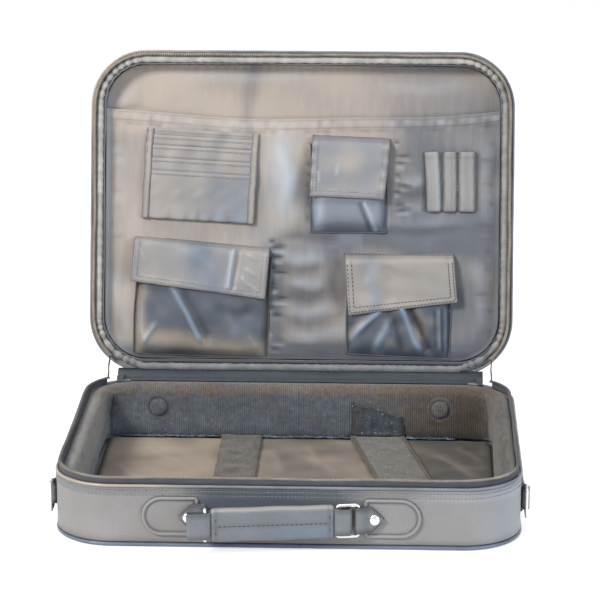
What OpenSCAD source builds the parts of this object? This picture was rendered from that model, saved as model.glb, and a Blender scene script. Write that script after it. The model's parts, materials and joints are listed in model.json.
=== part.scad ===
// Laptop briefcase with a hinged lid, lying open on its base.
// Millimetres, +Z up, X across the width, the handle side faces -Y.
// The origin is the middle of the underside of the base.

/* [Case] */
// Width over the side walls
body_w = 410; // [360:5:460]
// Depth from the handle wall to the spine wall
body_d = 312; // [280:4:360]
// Height of the base half up to its rim
base_h = 57; // [50:1:70]
// Height of the lid half up to its rim
lid_h = 33; // [32:1:45]
// Radius of the four upright corners
corner_r = 53; // [42:1:64]
// Thickness of the covered board walls
shell_t = 4; // [3.5:0.5:6]
// Angle of the open lid from closed
open_angle = 104; // [95:1:110]

/* [Piping and zip] */
// Radius of the bead round the outer edges
edge_bead_r = 2; // [1.6:0.1:2.4]
// Radius of the bead under the zip
rim_bead_r = 1.4; // [1:0.1:1.6]
// How far each bead stands out from the wall
bead_out = 0.8; // [0.4:0.1:1]
// Height of each half of the zip above its rim
zip_rise = 7; // [6:0.5:10]
// Thickness of the zip tape
tape_t = 1.2; // [0.8:0.1:1.4]
// Distance of the zip tape inside the wall face
tape_in = 2.4; // [2.2:0.1:2.6]
// Width of the zip coil
coil_w = 2.6; // [2:0.1:3]
// Height of the zip coil
coil_h = 2.2; // [1.6:0.1:2.6]
// Distance of each end of the zip from the side wall
zip_end_in = 19; // [13:1:24]

/* [Hinge] */
// Distance of each end of the hinge strip from the side wall
hinge_in = 35; // [32:1:80]
// Thickness of the fabric hinge strip
hinge_t = 1.2; // [0.8:0.1:1.6]
// Width of the stay at each end of the zip
stay_w = 5; // [3:0.5:7]

/* [Linings] */
// Thickness of the ribbed foam on the base walls
pad_t = 16; // [10:1:20]
// Rounding of the upper inner edge of that foam
pad_round = 9; // [5:1:9]
// Thickness of the floor panel
floor_t = 2; // [1.5:0.5:4]
// Thickness of the lining on the lid walls
lid_pad_t = 8; // [5:1:12]
// Thickness of the lining on the back of the lid
lid_back_t = 6; // [4:1:8]
// Thickness of the fabric sheets
cloth_t = 1.2; // [0.8:0.1:1.6]

/* [Organiser] */
// Height of the document pocket hem above the hinge edge
document_h = 250; // [240:1:262]
// Room inside the document pocket
document_gap = 6; // [5:0.5:7]
// Room inside a pocket at its mouth
mouth_gap = 7; // [5:0.5:7.5]
// Extra room at the bottom of a pocket
pocket_swell = 3; // [0:0.5:3.5]
// Room inside a pen loop
pen_gap = 6; // [5:0.5:8]
// Distance of the card organiser's middle from the left wall
card_in = 105; // [90:1:108]
// Distance of the card organiser below the hem
card_drop = 16; // [12:1:20]
// Width of the card organiser
card_w = 110; // [90:1:120]
// Height of the card organiser
card_h = 88; // [80:1:100]
// Step from one card slot to the next
card_step = 13; // [9:1:15]
// Distance of the middle pen loop from the right wall
pen_in = 60; // [50:1:62]
// Distance of the pen loops below the hem
pen_drop = 34; // [24:1:40]
// Width of a pen loop
pen_w = 16; // [14:1:17]
// Height of a pen loop
pen_h = 58; // [45:1:70]
// Distance of the wide pocket's middle from the left wall
wide_in = 106; // [98:1:110]
// Height of the wide pocket's bottom above the hinge edge
wide_low = 20; // [19:1:24]
// Width of the wide pocket at the lower left
wide_w = 132; // [110:1:140]
// Height of the wide pocket
wide_h = 98; // [84:1:102]
// Drop of the wide pocket's flap
wide_flap_h = 48; // [35:1:60]
// Distance of the charger pocket's middle from the right wall
charger_in = 110; // [90:1:116]
// Height of the charger pocket's bottom above the hinge edge
charger_low = 20; // [15:1:28]
// Width of the charger pocket at the lower right
charger_w = 102; // [85:1:106]
// Height of the charger pocket
charger_h = 88; // [74:1:92]
// Drop of the charger pocket's flap
charger_flap_h = 52; // [35:1:60]
// Offset of the phone pocket from the middle of the lid
phone_x = 48; // [44:1:56]
// Distance of the phone pocket's flap below the hem
phone_drop = 18; // [12:1:22]
// Width of the phone pocket in the middle
phone_w = 72; // [60:1:80]
// Height of the phone pocket
phone_h = 80; // [64:1:84]
// Drop of the phone pocket's flap
phone_flap_h = 60; // [35:1:64]

/* [Handle] */
// Offset of the handle from the middle of the case
handle_shift = -4; // [-10:1:10]
// Height of the handle and its rivets above the underside
handle_z = 29; // [24:1:34]
// Distance between the two ring pivots
pivot_span = 134; // [128:1:150]
// Distance of the ring pivots in front of the wall
pivot_out = 6; // [5.6:0.1:8]
// Distance between the two upright bars of a ring
ring_len = 19; // [17:0.5:22]
// Height of a ring between its bar centres
ring_h = 28; // [26:1:34]
// Radius of the ring wire
wire_r = 1.5; // [1.2:0.1:1.8]
// Bend radius at the corners of the rings
ring_bend = 2.6; // [2.2:0.1:2.7]
// Rest angle of the right ring from the wall
right_ring_angle = 8; // [6:1:16]
// Rest angle of the left ring from the wall
left_ring_angle = 82; // [76:1:86]
// Room between the grip and the right ring's bar
grip_gap = 0.8; // [0.6:0.1:2]
// Room between the grip and the left ring's bar
left_gap = 2.9; // [1:0.1:8]
// Height of the padded grip
grip_h = 30; // [24:1:34]
// Thickness of the padded grip and its loops
grip_t = 11; // [10:0.5:14]
// Room for a ring bar to slide outwards in its loop
loop_slack = 14; // [13:0.5:15]
// Thickness of the leather straps
strap_t = 1.8; // [1.4:0.1:2]
// Length of the stitched patch under each handle end
patch_len = 50; // [42:1:58]
// Height of the stitched patch
patch_h = 36; // [32:1:40]
// Thickness of the stitched patch
patch_t = 1.6; // [1:0.1:2]
// Radius of the rivet heads
rivet_r = 5; // [4:0.25:6]

/* [Shoulder strap rings] */
// Distance of the side ring pivots from the corner arc
side_ring_back = 5; // [2:1:30]
// Distance of the side ring pivots from the wall
side_pivot_out = 4.4; // [4.2:0.1:6]
// Distance between the upright bars of a side ring
side_ring_len = 16; // [13:0.5:22]
// Height of a side ring between its bar centres
side_ring_h = 25; // [22:1:30]
// Length of the side patch
side_patch_len = 34; // [28:1:44]

/* [Laptop straps] */
// Width of the left strap
left_strap_w = 39; // [25:1:50]
// Place of the middle of the left strap
left_strap_x = -55; // [-90:1:-40]
// Width of the right strap
right_strap_w = 53; // [30:1:60]
// Place of the right strap where it leaves the spine
right_strap_x = 76; // [50:1:100]
// Length of the straps on the floor
floor_strap_len = 185; // [140:5:220]
// Sideways run of the right strap along its length
right_strap_skew = 38; // [0:1:50]
// Height of the right strap's sewn end up the spine
strap_root_h = 34; // [24:1:38]

/* [Feet and sliders] */
// Radius of a foot
foot_r = 9; // [7:0.5:11]
// Height of a foot
foot_h = 6; // [4:0.5:8]
// Distance of the feet from the side walls
foot_in = 69; // [60:1:105]
// Height of the base feet above the underside
foot_z = 35; // [26:1:42]
// Length of a zip slider
slider_len = 9; // [7:0.5:11]
// Length of a slider's pull
pull_len = 22; // [16:1:28]

/* [Hidden] */
$fn = 48;

// Clearance between pieces of one body
fit = 0.1;
// Clearance round the pieces that swing
run = 0.3;
rear_y = body_d / 2;
front_y = -body_d / 2;
hinge_z = base_h + zip_rise;
lid_top_z = base_h + 2 * zip_rise + lid_h;
coil_in = tape_in + tape_t - coil_w / 2;
seat_in = 2 * edge_bead_r - bead_out + fit;
band_z = max(shell_t, 2 * edge_bead_r + fit) + fit;
floor_z = shell_t + floor_t + fit;
pad_face_y = rear_y - shell_t - fit - pad_t;
shank_r = 1.8;
zip_end_x = body_w / 2 - zip_end_in;
hinge_half = body_w / 2 - hinge_in;
foot_x = body_w / 2 - foot_in;
lining_drop = 1;

// Places on the lid, measured up from the hinge edge and in from its back
document_z = shell_t + fit + lid_back_t + document_gap;
pocket_z = document_z + cloth_t + fit;
pocket_deep = mouth_gap + cloth_t;
flap_foot = 9;
flap_lift = 0.4;
wide_x = wide_in - body_w / 2;
wide_s = wide_low + wide_h + flap_foot;
wide_tilt = -4.8;
charger_x = body_w / 2 - charger_in;
charger_s = charger_low + charger_h + flap_foot;
charger_tilt = 0;
phone_s = document_h - phone_drop;
phone_tilt = 0;
card_x = card_in - body_w / 2;
card_s = document_h - card_drop - card_h;
card_tilt = -3;
card_layer = 0.9;
card_binding = 7;
card_slit = 0.3;
card_slot_deep = 30;
pen_x = body_w / 2 - pen_in;
pen_s = document_h - pen_drop - pen_h;
pen_space = 1;
first_pen_tilt = 3;

// Handle geometry
pivot_y = front_y - pivot_out;
right_pivot_x = handle_shift + pivot_span / 2;
left_pivot_x = handle_shift - pivot_span / 2;
right_bar = [right_pivot_x - ring_len * cos(right_ring_angle),
    pivot_y - ring_len * sin(right_ring_angle)];
left_bar = [left_pivot_x + ring_len * cos(left_ring_angle),
    pivot_y - ring_len * sin(left_ring_angle)];
bar_yaw = atan2(right_bar[1] - left_bar[1], right_bar[0] - left_bar[0]);
// The grip starts a little nearer the wall, so the left bar stays in its loop over the lift
grip_turn = 0.65;
handle_yaw = bar_yaw - grip_turn;
strap_w = ring_h - 2 * wire_r - 1;
bar_far = norm(right_bar - left_bar);
grip_start = wire_r + grip_gap;
grip_len = bar_far - grip_start - wire_r - left_gap;
side_y = front_y + corner_r + side_ring_back;

// Rounded rectangle
module rrect(w, d, r) {
    square([w - 2 * r, d], center = true);
    square([w, d - 2 * r], center = true);
    for (x = [-1, 1], y = [-1, 1])
        translate([x * (w / 2 - r), y * (d / 2 - r)])
            circle(r);
}

// Flat ring that follows the case wall, between two depths from the wall face
module wall_ring(outer, inner, h) {
    linear_extrude(h)
        difference() {
            rrect(body_w - 2 * outer, body_d - 2 * outer, corner_r - outer);
            rrect(body_w - 2 * inner, body_d - 2 * inner, corner_r - inner);
        }
}

// Runs a profile along the four straight walls: profile x is out from the wall face, y is up
module case_walls(trim) {
    for (a = [0, 180]) {
        rotate([0, 0, a])
            translate([body_w / 2, rear_y - corner_r - trim, 0])
                rotate([90, 0, 0])
                    linear_extrude(body_d - 2 * corner_r - 2 * trim)
                        children();
        rotate([0, 0, a + 90])
            translate([body_d / 2, body_w / 2 - corner_r - trim, 0])
                rotate([90, 0, 0])
                    linear_extrude(body_w - 2 * corner_r - 2 * trim)
                        children();
    }
}

// Runs the same profile round the four corners
module case_corners() {
    for (x = [0, 1], y = [0, 1])
        mirror([x, 0, 0])
            mirror([0, y, 0])
                translate([body_w / 2 - corner_r, body_d / 2 - corner_r, 0])
                    rotate_extrude(angle = 90)
                        translate([corner_r, 0])
                            children();
}

module round_case() {
    case_walls(0)
        children();
    case_corners()
        children();
}

// Covered board inside the edge bead
module face_panel() {
    linear_extrude(shell_t)
        rrect(body_w - 2 * seat_in, body_d - 2 * seat_in, corner_r - seat_in);
}

// Covered wall from the edge bead to the rim, with a seat for the rim bead
module wall_band(h) {
    difference() {
        translate([0, 0, band_z])
            wall_ring(0, shell_t, h - band_z);
        translate([0, 0, h - 2 * rim_bead_r - fit])
            wall_ring(-1, 2 * rim_bead_r - bead_out + fit, 2 * rim_bead_r + 1);
    }
}

module edge_bead() {
    round_case()
        translate([bead_out - edge_bead_r, edge_bead_r + fit])
            circle(edge_bead_r);
}

module rim_bead(h) {
    round_case()
        translate([bead_out - rim_bead_r, h - rim_bead_r])
            circle(rim_bead_r);
}

// The zip leaves the spine between its two ends
module zip_cut(h) {
    translate([-zip_end_x, 0, h - 1])
        cube([2 * zip_end_x, body_d, zip_rise + 2]);
}

module zip_tape(h) {
    difference() {
        translate([0, 0, h + fit])
            wall_ring(tape_in, tape_in + tape_t, zip_rise - coil_h - 2 * fit);
        zip_cut(h);
    }
}

module zip_coil(h) {
    difference() {
        translate([0, 0, h + zip_rise - coil_h])
            wall_ring(coil_in, coil_in + coil_w, coil_h - run / 2);
        zip_cut(h);
    }
}

// Profile of the foam behind a wall, with a rounded upper inner edge
module foam_profile(t, round_r, z0, z1) {
    translate([-shell_t - fit - t, z0]) {
        translate([round_r, 0])
            square([t - round_r, z1 - z0]);
        square([t, z1 - z0 - round_r]);
        intersection() {
            translate([round_r, z1 - z0 - round_r])
                circle(round_r);
            translate([0, z1 - z0 - 2 * round_r])
                square([round_r + 1, 2 * round_r]);
        }
    }
}

module base_foam_profile() {
    foam_profile(pad_t, pad_round, shell_t + fit, base_h - lining_drop);
}

module lid_foam_profile() {
    foam_profile(lid_pad_t, lid_pad_t / 2, shell_t + lid_back_t + 2 * fit,
        lid_h - lining_drop);
}

// Puts a piece drawn in the lid's own frame onto the open lid:
// the frame has its zero at the back of the lid and its rim at lid_h
module on_lid() {
    translate([0, rear_y, hinge_z])
        rotate([-open_angle, 0, 0])
            translate([0, -rear_y, lid_top_z - hinge_z])
                mirror([0, 0, 1])
                    children();
}

// Frame of a pocket: X to the right, Y up the lid, Z out of the lid
module at_pocket(x, s, tilt) {
    on_lid()
        translate([x, rear_y - s, pocket_z])
            rotate([0, 0, -tilt])
                mirror([0, 1, 0])
                    children();
}

// Pocket with a mouth at its top, drawn down from the flap's sewn edge
module pocket_bag(w, h) {
    deep = pocket_deep + pocket_swell;
    translate([-w / 2, -flap_foot - h, 0])
        difference() {
            rotate([90, 0, 90])
                linear_extrude(w)
                    polygon([[0, 0], [0, deep], [h, pocket_deep], [h, 0]]);
            translate([cloth_t, 0, 0])
                rotate([90, 0, 90])
                    linear_extrude(w - 2 * cloth_t)
                        polygon([[cloth_t, -1], [cloth_t, deep - cloth_t],
                            [h + 1, pocket_deep - cloth_t], [h + 1, -1]]);
        }
}

// Flap drawn down from its sewn edge: it steps over the mouth, then hangs down
module pocket_flap(w, h, bag_h) {
    top = pocket_deep + flap_lift;
    low = top + pocket_swell * (h - flap_foot) / bag_h;
    translate([-w / 2, 0, 0])
        rotate([90, 0, 90])
            linear_extrude(w)
                polygon([[0, 0], [1 - flap_foot, top], [-h, low], [-h, low + cloth_t],
                    [0.5 - flap_foot, top + cloth_t], [0, cloth_t]]);
}

// Rectangular wire ring: one upright bar at the origin, the other at x = len
module wire_ring(len, h, r, bend) {
    for (x = [0, len])
        translate([x, 0, -h / 2 + bend])
            cylinder(r = r, h = h - 2 * bend);
    for (z = [-h / 2, h / 2])
        translate([bend, 0, z])
            rotate([0, 90, 0])
                cylinder(r = r, h = len - 2 * bend);
    for (x = [0, 1], z = [0, 1])
        translate([x * len, 0, 0])
            mirror([x, 0, 0])
                mirror([0, 0, z])
                    translate([bend, 0, -h / 2 + bend])
                        rotate([90, 0, 0])
                            rotate([0, 0, 180])
                                rotate_extrude(angle = 90)
                                    translate([bend, 0])
                                        circle(r);
}

// Rivet along -Y: the head starts at y = 0 and the shank runs back into the wall
module rivet(deep) {
    head_h = rivet_r / 2;
    ball_r = (rivet_r * rivet_r + head_h * head_h) / (2 * head_h);
    rotate([90, 0, 0]) {
        intersection() {
            translate([0, 0, head_h - ball_r])
                sphere(ball_r);
            cylinder(r = rivet_r, h = head_h);
        }
        translate([0, 0, -deep])
            cylinder(r = shank_r, h = deep + 0.5);
    }
}

// Patch with one round end that points to +X, its straight end at x = 0, back at y = 0
module patch(len, h, t) {
    rotate([90, 0, 0])
        linear_extrude(t) {
            translate([0, -h / 2])
                square([len - h / 2, h]);
            translate([len - h / 2, 0])
                circle(h / 2);
        }
}

// Strap folded round a ring bar at the origin, with a pointed end along +X
module tab(tip, w, base_y, t, bar_r) {
    hole_r = bar_r + run;
    difference() {
        union() {
            translate([0, 0, -w / 2])
                cylinder(r = hole_r + strap_t, h = w);
            translate([0, base_y, 0])
                rotate([90, 0, 0])
                    linear_extrude(t)
                        polygon([[0, -w / 2], [tip - w / 2, -w / 2], [tip, 0],
                            [tip - w / 2, w / 2], [0, w / 2]]);
        }
        translate([0, 0, -w])
            cylinder(r = hole_r, h = 2 * w);
    }
}

tab_t = pivot_out - patch_t - 1.2;
tab_tip = 22;
patch_from = 4.4;
side_patch_from = 4;
rivet_in = 13.5;
tab_w = strap_w;
side_wire_r = 1.4;
side_tab_w = side_ring_h - 2 * side_wire_r - 1;
side_tab_t = side_pivot_out - patch_t - 1;
side_tab_tip = 26;
side_patch_over = 6;
side_rivet_in = 15;

// Both sides of the handle share one frame: origin at the ring pivot, +X outwards
module handle_side(side) {
    translate([handle_shift, pivot_y, handle_z])
        mirror([side < 0 ? 1 : 0, 0, 0])
            translate([pivot_span / 2, 0, 0])
                children();
}

// Side frame: origin at the ring pivot, +X runs back along the wall, -Y is outwards
module case_side(side) {
    mirror([side < 0 ? 1 : 0, 0, 0])
        translate([body_w / 2 + side_pivot_out, side_y, handle_z])
            rotate([0, 0, 90])
                children();
}

module rivet_holes() {
    for (s = [-1, 1]) {
        handle_side(s)
            translate([rivet_in, 0, 0])
                rotate([-90, 0, 0])
                    cylinder(r = shank_r + fit, h = pivot_out + shell_t + 1);
        case_side(s)
            translate([side_rivet_in, 0, 0])
                rotate([-90, 0, 0])
                    cylinder(r = shank_r + fit, h = side_pivot_out + shell_t + 1);
    }
}

module foot_holes(z) {
    for (x = [-foot_x, foot_x])
        translate([x, pad_face_y - 1, z])
            rotate([-90, 0, 0])
                cylinder(r = shank_r + fit, h = pad_t + shell_t + 4);
}

// Foot on the spine wall, with a shank of the given length
module foot(deep) {
    rotate([-90, 0, 0]) {
        cylinder(r = foot_r, h = foot_h / 2);
        translate([0, 0, foot_h / 2])
            cylinder(r1 = foot_r, r2 = foot_r * 0.75, h = foot_h / 2);
        translate([0, 0, -deep])
            cylinder(r = shank_r, h = deep + 1);
    }
}

module base_panel() {
    color([0.45, 0.45, 0.46])
        face_panel();
}

module base_band() {
    color([0.47, 0.47, 0.48])
        difference() {
            wall_band(base_h);
            rivet_holes();
            foot_holes(foot_z);
        }
}

module base_edge_piping() {
    color([0.36, 0.38, 0.40])
        edge_bead();
}

module base_rim_piping() {
    color([0.33, 0.33, 0.35])
        rim_bead(base_h);
}

module base_zip_tape() {
    color([0.42, 0.40, 0.38])
        zip_tape(base_h);
}

module base_zip_coil() {
    color([0.60, 0.57, 0.54])
        zip_coil(base_h);
}

module base_wall_padding() {
    color([0.33, 0.36, 0.39])
        difference() {
            case_walls(fit / 2)
                base_foam_profile();
            foot_holes(foot_z);
        }
}

module base_corner_padding() {
    color([0.33, 0.36, 0.39])
        case_corners()
            base_foam_profile();
}

module base_floor_panel() {
    inset = shell_t + pad_t + 4 * fit;
    color([0.51, 0.48, 0.44])
        translate([0, 0, shell_t + fit])
            linear_extrude(floor_t)
                rrect(body_w - 2 * inset, body_d - 2 * inset, corner_r - inset);
}

module base_feet() {
    color([0.12, 0.12, 0.13])
        for (x = [-foot_x, foot_x])
            translate([x, rear_y + fit, foot_z])
                foot(shell_t + pad_t + 2 * fit);
}

module base_foot_studs() {
    stud_t = 2.4;
    color([0.28, 0.30, 0.33])
        for (x = [-foot_x, foot_x])
            translate([x, pad_face_y - 3 * fit, foot_z])
                rotate([90, 0, 0])
                    cylinder(r1 = foot_r * 0.94, r2 = foot_r * 0.7, h = stud_t);
}

module handle_patch(side) {
    color([0.58, 0.58, 0.58])
        difference() {
            handle_side(side)
                translate([patch_from, pivot_out - fit, 0])
                    patch(patch_len, patch_h, patch_t);
            rivet_holes();
        }
}

module handle_tab(side) {
    color([0.50, 0.50, 0.51])
        difference() {
            handle_side(side)
                tab(tab_tip, tab_w, pivot_out - patch_t - 2 * fit, tab_t, wire_r);
            rivet_holes();
        }
}

module handle_patch_left() {
    handle_patch(-1);
}

module handle_patch_right() {
    handle_patch(1);
}

module handle_tab_left() {
    handle_tab(-1);
}

module handle_tab_right() {
    handle_tab(1);
}

module handle_rivets() {
    head_y = pivot_out - patch_t - tab_t - 3 * fit;
    color([0.88, 0.87, 0.84])
        for (s = [-1, 1])
            handle_side(s)
                translate([rivet_in, head_y, 0])
                    rivet(pivot_out - head_y + shell_t);
}

module ring_right() {
    color([0.87, 0.87, 0.86])
        translate([right_pivot_x, pivot_y, handle_z])
            rotate([0, 0, 180 + right_ring_angle])
                wire_ring(ring_len, ring_h, wire_r, ring_bend);
}

module ring_left() {
    color([0.87, 0.87, 0.86])
        translate([left_pivot_x, pivot_y, handle_z])
            rotate([0, 0, -left_ring_angle])
                wire_ring(ring_len, ring_h, wire_r, ring_bend);
}

// Loop of strap at one end of the grip, open above and below, from x = 0 to x = reach
module grip_loop(reach) {
    difference() {
        linear_extrude(strap_w, center = true) {
            translate([0, -grip_t / 2])
                square([reach - grip_t / 4, grip_t]);
            translate([reach - grip_t / 4, -grip_t / 4])
                square([grip_t / 4, grip_t / 2]);
            for (y = [-1, 1])
                translate([reach - grip_t / 4, y * grip_t / 4])
                    circle(grip_t / 4);
        }
        linear_extrude(strap_w + 2, center = true)
            translate([-1, strap_t - grip_t / 2])
                square([reach + 1 - strap_t, grip_t - 2 * strap_t]);
    }
}

// The handle's frame has its zero at the right ring's bar and runs to -X
module handle() {
    reach = grip_start + loop_slack - wire_r;
    left_reach = left_gap + 2 * wire_r + loop_slack;
    edge = 3;
    color([0.51, 0.52, 0.53])
        translate([right_bar[0], right_bar[1], handle_z])
            rotate([0, 0, handle_yaw]) {
                translate([-grip_start - grip_len, 0, 0])
                    rotate([90, 0, 90])
                        linear_extrude(grip_len)
                            rrect(grip_t, grip_h, edge);
                translate([-grip_start - 1, 0, 0])
                    grip_loop(reach + 1);
                translate([-grip_start - grip_len + 1, 0, 0])
                    mirror([1, 0, 0])
                        grip_loop(left_reach + 1);
            }
}

module side_patch(side) {
    color([0.50, 0.50, 0.51])
        difference() {
            case_side(side)
                union() {
                    translate([side_patch_from, side_pivot_out - fit, 0])
                        patch(side_patch_len, side_ring_h + side_patch_over, patch_t);
                    tab(side_tab_tip, side_tab_w, side_pivot_out - patch_t, side_tab_t,
                        side_wire_r);
                }
            rivet_holes();
        }
}

module side_patch_left() {
    side_patch(-1);
}

module side_patch_right() {
    side_patch(1);
}

module side_rivets() {
    head_y = side_pivot_out - patch_t - side_tab_t - fit;
    color([0.88, 0.87, 0.84])
        for (s = [-1, 1])
            case_side(s)
                translate([side_rivet_in, head_y, 0])
                    rivet(side_pivot_out - head_y + shell_t);
}

module side_ring(side) {
    color([0.87, 0.87, 0.86])
        case_side(side)
            rotate([0, 0, 180])
                wire_ring(side_ring_len, side_ring_h, side_wire_r, ring_bend);
}

module side_ring_left() {
    side_ring(-1);
}

module side_ring_right() {
    side_ring(1);
}

// Straps start at the foot of the spine padding and lie on the floor panel
strap_cloth = 2;
strap_y = pad_face_y - strap_cloth - 6 * fit;
strap_z = floor_z + fit;

module strap_left() {
    color([0.44, 0.43, 0.40])
        translate([left_strap_x - left_strap_w / 2, strap_y - floor_strap_len, strap_z])
            cube([left_strap_w, floor_strap_len, strap_cloth]);
}

module strap_right_root() {
    color([0.45, 0.44, 0.42])
        translate([right_strap_x, pad_face_y - fit, strap_z + strap_cloth + run])
            rotate([90, 0, 0])
                linear_extrude(strap_cloth)
                    polygon([[-right_strap_w / 2, 0], [right_strap_w / 2, 0],
                        [right_strap_w / 2 - 2, strap_root_h * 0.55],
                        [-right_strap_w / 2 + 2, strap_root_h]]);
}

module strap_right() {
    color([0.45, 0.44, 0.42])
        translate([right_strap_x, strap_y, strap_z])
            linear_extrude(strap_cloth)
                polygon([[-right_strap_w / 2, 0], [right_strap_w / 2, 0],
                    [right_strap_w / 2 + right_strap_skew, -floor_strap_len],
                    [-right_strap_w / 2 + right_strap_skew, -floor_strap_len]]);
}

// Place on the open lid of a point on the spine side, as [y, z]
function lid_point(s, deep) = [
    rear_y + (zip_rise + deep) * sin(open_angle) - s * cos(open_angle),
    hinge_z + (zip_rise + deep) * cos(open_angle) + s * sin(open_angle)];

// Band between two points of the y-z plane
module band(a, b, t, x0, x1) {
    dir = (b - a) / norm(b - a);
    side = [-dir[1], dir[0]] * t / 2;
    translate([x0, 0, 0])
        rotate([90, 0, 90])
            linear_extrude(x1 - x0)
                polygon([a - side, b - side, b + side, a + side]);
}

module hinge_strip() {
    seat = hinge_t / 2 + fit;
    low = [rear_y - shell_t / 2, base_h + seat];
    high = lid_point(shell_t / 2 + seat, -seat);
    color([0.36, 0.38, 0.39])
        band(low, high, hinge_t, -hinge_half, hinge_half);
}

module zip_stay(side) {
    arc = corner_r - (body_w / 2 - zip_end_x);
    end_in = corner_r - sqrt(corner_r * corner_r - arc * arc);
    low = [rear_y - end_in - tape_in, base_h + zip_rise - coil_h / 2];
    high = lid_point(end_in + tape_in, -zip_rise + coil_h / 2);
    x0 = zip_end_x - run - tape_t;
    color([0.42, 0.40, 0.38])
        mirror([side < 0 ? 1 : 0, 0, 0])
            band(low, high, stay_w, x0, x0 + tape_t);
}

module zip_stay_left() {
    zip_stay(-1);
}

module zip_stay_right() {
    zip_stay(1);
}

slider_w = 6;
slider_t = 4.4;
slider_in = 6;
slider_x = hinge_half + slider_w / 2 + 1;
slider_y = rear_y - slider_in;
slider_z = base_h + run;
eye_w = 2.4;
eye_out = 1.8;
pin_r = 0.95;
pin_play = 0.05;

// Slider parked at the end of the zip, with an eye for its pull at the back
module slider() {
    eye_r = slider_t / 2;
    difference() {
        union() {
            translate([-slider_w / 2, -slider_len / 2, 0])
                cube([slider_w, slider_len, slider_t]);
            translate([-eye_w / 2, 0, 0])
                cube([eye_w, slider_len / 2 + eye_out, slider_t]);
            translate([-eye_w / 2, slider_len / 2 + eye_out, eye_r])
                rotate([0, 90, 0])
                    cylinder(r = eye_r, h = eye_w);
        }
        translate([-slider_w, slider_len / 2 + eye_out, eye_r])
            rotate([0, 90, 0])
                cylinder(r = pin_r + pin_play, h = 2 * slider_w);
    }
}

module zip_sliders() {
    color([0.25, 0.25, 0.26])
        for (s = [-1, 1])
            translate([s * slider_x, slider_y, slider_z])
                slider();
}

// Pull that hangs from the slider's eye behind the spine
module zip_pull(side) {
    cheek = (slider_w - eye_w) / 2 - run;
    cheek_r = pin_r + 0.35;
    pull_back = slider_t / 2 + 1.4;
    pull_t = 2;
    color([0.25, 0.25, 0.26])
        translate([side * slider_x, slider_y + slider_len / 2 + eye_out,
            slider_z + slider_t / 2]) {
            translate([-slider_w / 2, 0, 0])
                rotate([0, 90, 0])
                    cylinder(r = pin_r, h = slider_w);
            for (x = [-slider_w / 2, slider_w / 2 - cheek])
                translate([x, 0, 0]) {
                    rotate([0, 90, 0])
                        cylinder(r = cheek_r, h = cheek);
                    translate([0, 0, -cheek_r])
                        cube([cheek, pull_back + pull_t / 2, 2 * cheek_r]);
                }
            translate([-slider_w / 2, pull_back, cheek_r - pull_len])
                cube([slider_w, pull_t, pull_len]);
        }
}

module zip_pull_left() {
    zip_pull(-1);
}

module zip_pull_right() {
    zip_pull(1);
}

module lid_panel() {
    color([0.47, 0.47, 0.48])
        on_lid()
            face_panel();
}

module lid_band() {
    color([0.47, 0.47, 0.48])
        on_lid()
            difference() {
                wall_band(lid_h);
                for (x = [-foot_x, foot_x])
                    translate([x, rear_y - shell_t - 1, lid_h / 2])
                        rotate([-90, 0, 0])
                            cylinder(r = shank_r + fit, h = shell_t + 2);
            }
}

module lid_edge_piping() {
    color([0.36, 0.38, 0.40])
        on_lid()
            edge_bead();
}

module lid_rim_piping() {
    color([0.33, 0.33, 0.35])
        on_lid()
            rim_bead(lid_h);
}

module lid_zip_tape() {
    color([0.42, 0.40, 0.38])
        on_lid()
            zip_tape(lid_h);
}

module lid_zip_coil() {
    color([0.60, 0.57, 0.54])
        on_lid()
            zip_coil(lid_h);
}

module lid_back_lining() {
    inset = shell_t + fit;
    color([0.60, 0.58, 0.57])
        on_lid()
            translate([0, 0, shell_t + fit])
                linear_extrude(lid_back_t)
                    rrect(body_w - 2 * inset, body_d - 2 * inset, corner_r - inset);
}

module lid_wall_lining() {
    color([0.55, 0.54, 0.54])
        on_lid()
            case_walls(fit / 2)
                lid_foam_profile();
}

module lid_corner_lining() {
    color([0.55, 0.54, 0.54])
        on_lid()
            case_corners()
                lid_foam_profile();
}

module lid_feet() {
    color([0.12, 0.12, 0.13])
        on_lid()
            for (x = [-foot_x, foot_x])
                translate([x, rear_y + fit, lid_h / 2])
                    foot(shell_t - fit);
}

// Full width pocket: a front sheet on a rim along its sides and bottom, open at the top
module document_pocket() {
    inset = shell_t + lid_pad_t + 4 * fit;
    w = body_w - 2 * inset;
    r = corner_r - inset;
    z0 = shell_t + lid_back_t + 2 * fit;
    color([0.56, 0.56, 0.57])
        on_lid()
            translate([0, 0, z0])
                difference() {
                    linear_extrude(document_z + cloth_t - z0)
                        rrect(w, body_d - 2 * inset, r);
                    translate([0, 0, -1])
                        linear_extrude(document_z - z0 + 1)
                            rrect(w - 2 * cloth_t, body_d - 2 * inset - 2 * cloth_t,
                                r - cloth_t);
                    translate([-body_w / 2, -body_d, -1])
                        cube([body_w, body_d / 2 + body_d - document_h, lid_h]);
                }
}

// Stepped card slots inside a bound frame
module card_organiser() {
    slots = 4;
    thick = card_layer * (slots + 1);
    inner_w = card_w - 2 * card_binding;
    color([0.60, 0.60, 0.60])
        at_pocket(card_x, card_s, card_tilt)
            difference() {
                translate([-card_w / 2, 0, 0])
                    cube([card_w, card_h, thick]);
                for (i = [0 : slots - 1]) {
                    lip = card_h - card_binding - card_step * (slots - i);
                    layer_z = card_layer * (i + 1);
                    translate([-inner_w / 2, lip, layer_z])
                        cube([inner_w, card_h, thick]);
                    translate([-inner_w / 2, lip - card_slot_deep, layer_z - card_slit])
                        cube([inner_w, card_slot_deep + 1, card_slit]);
                }
            }
}

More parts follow.
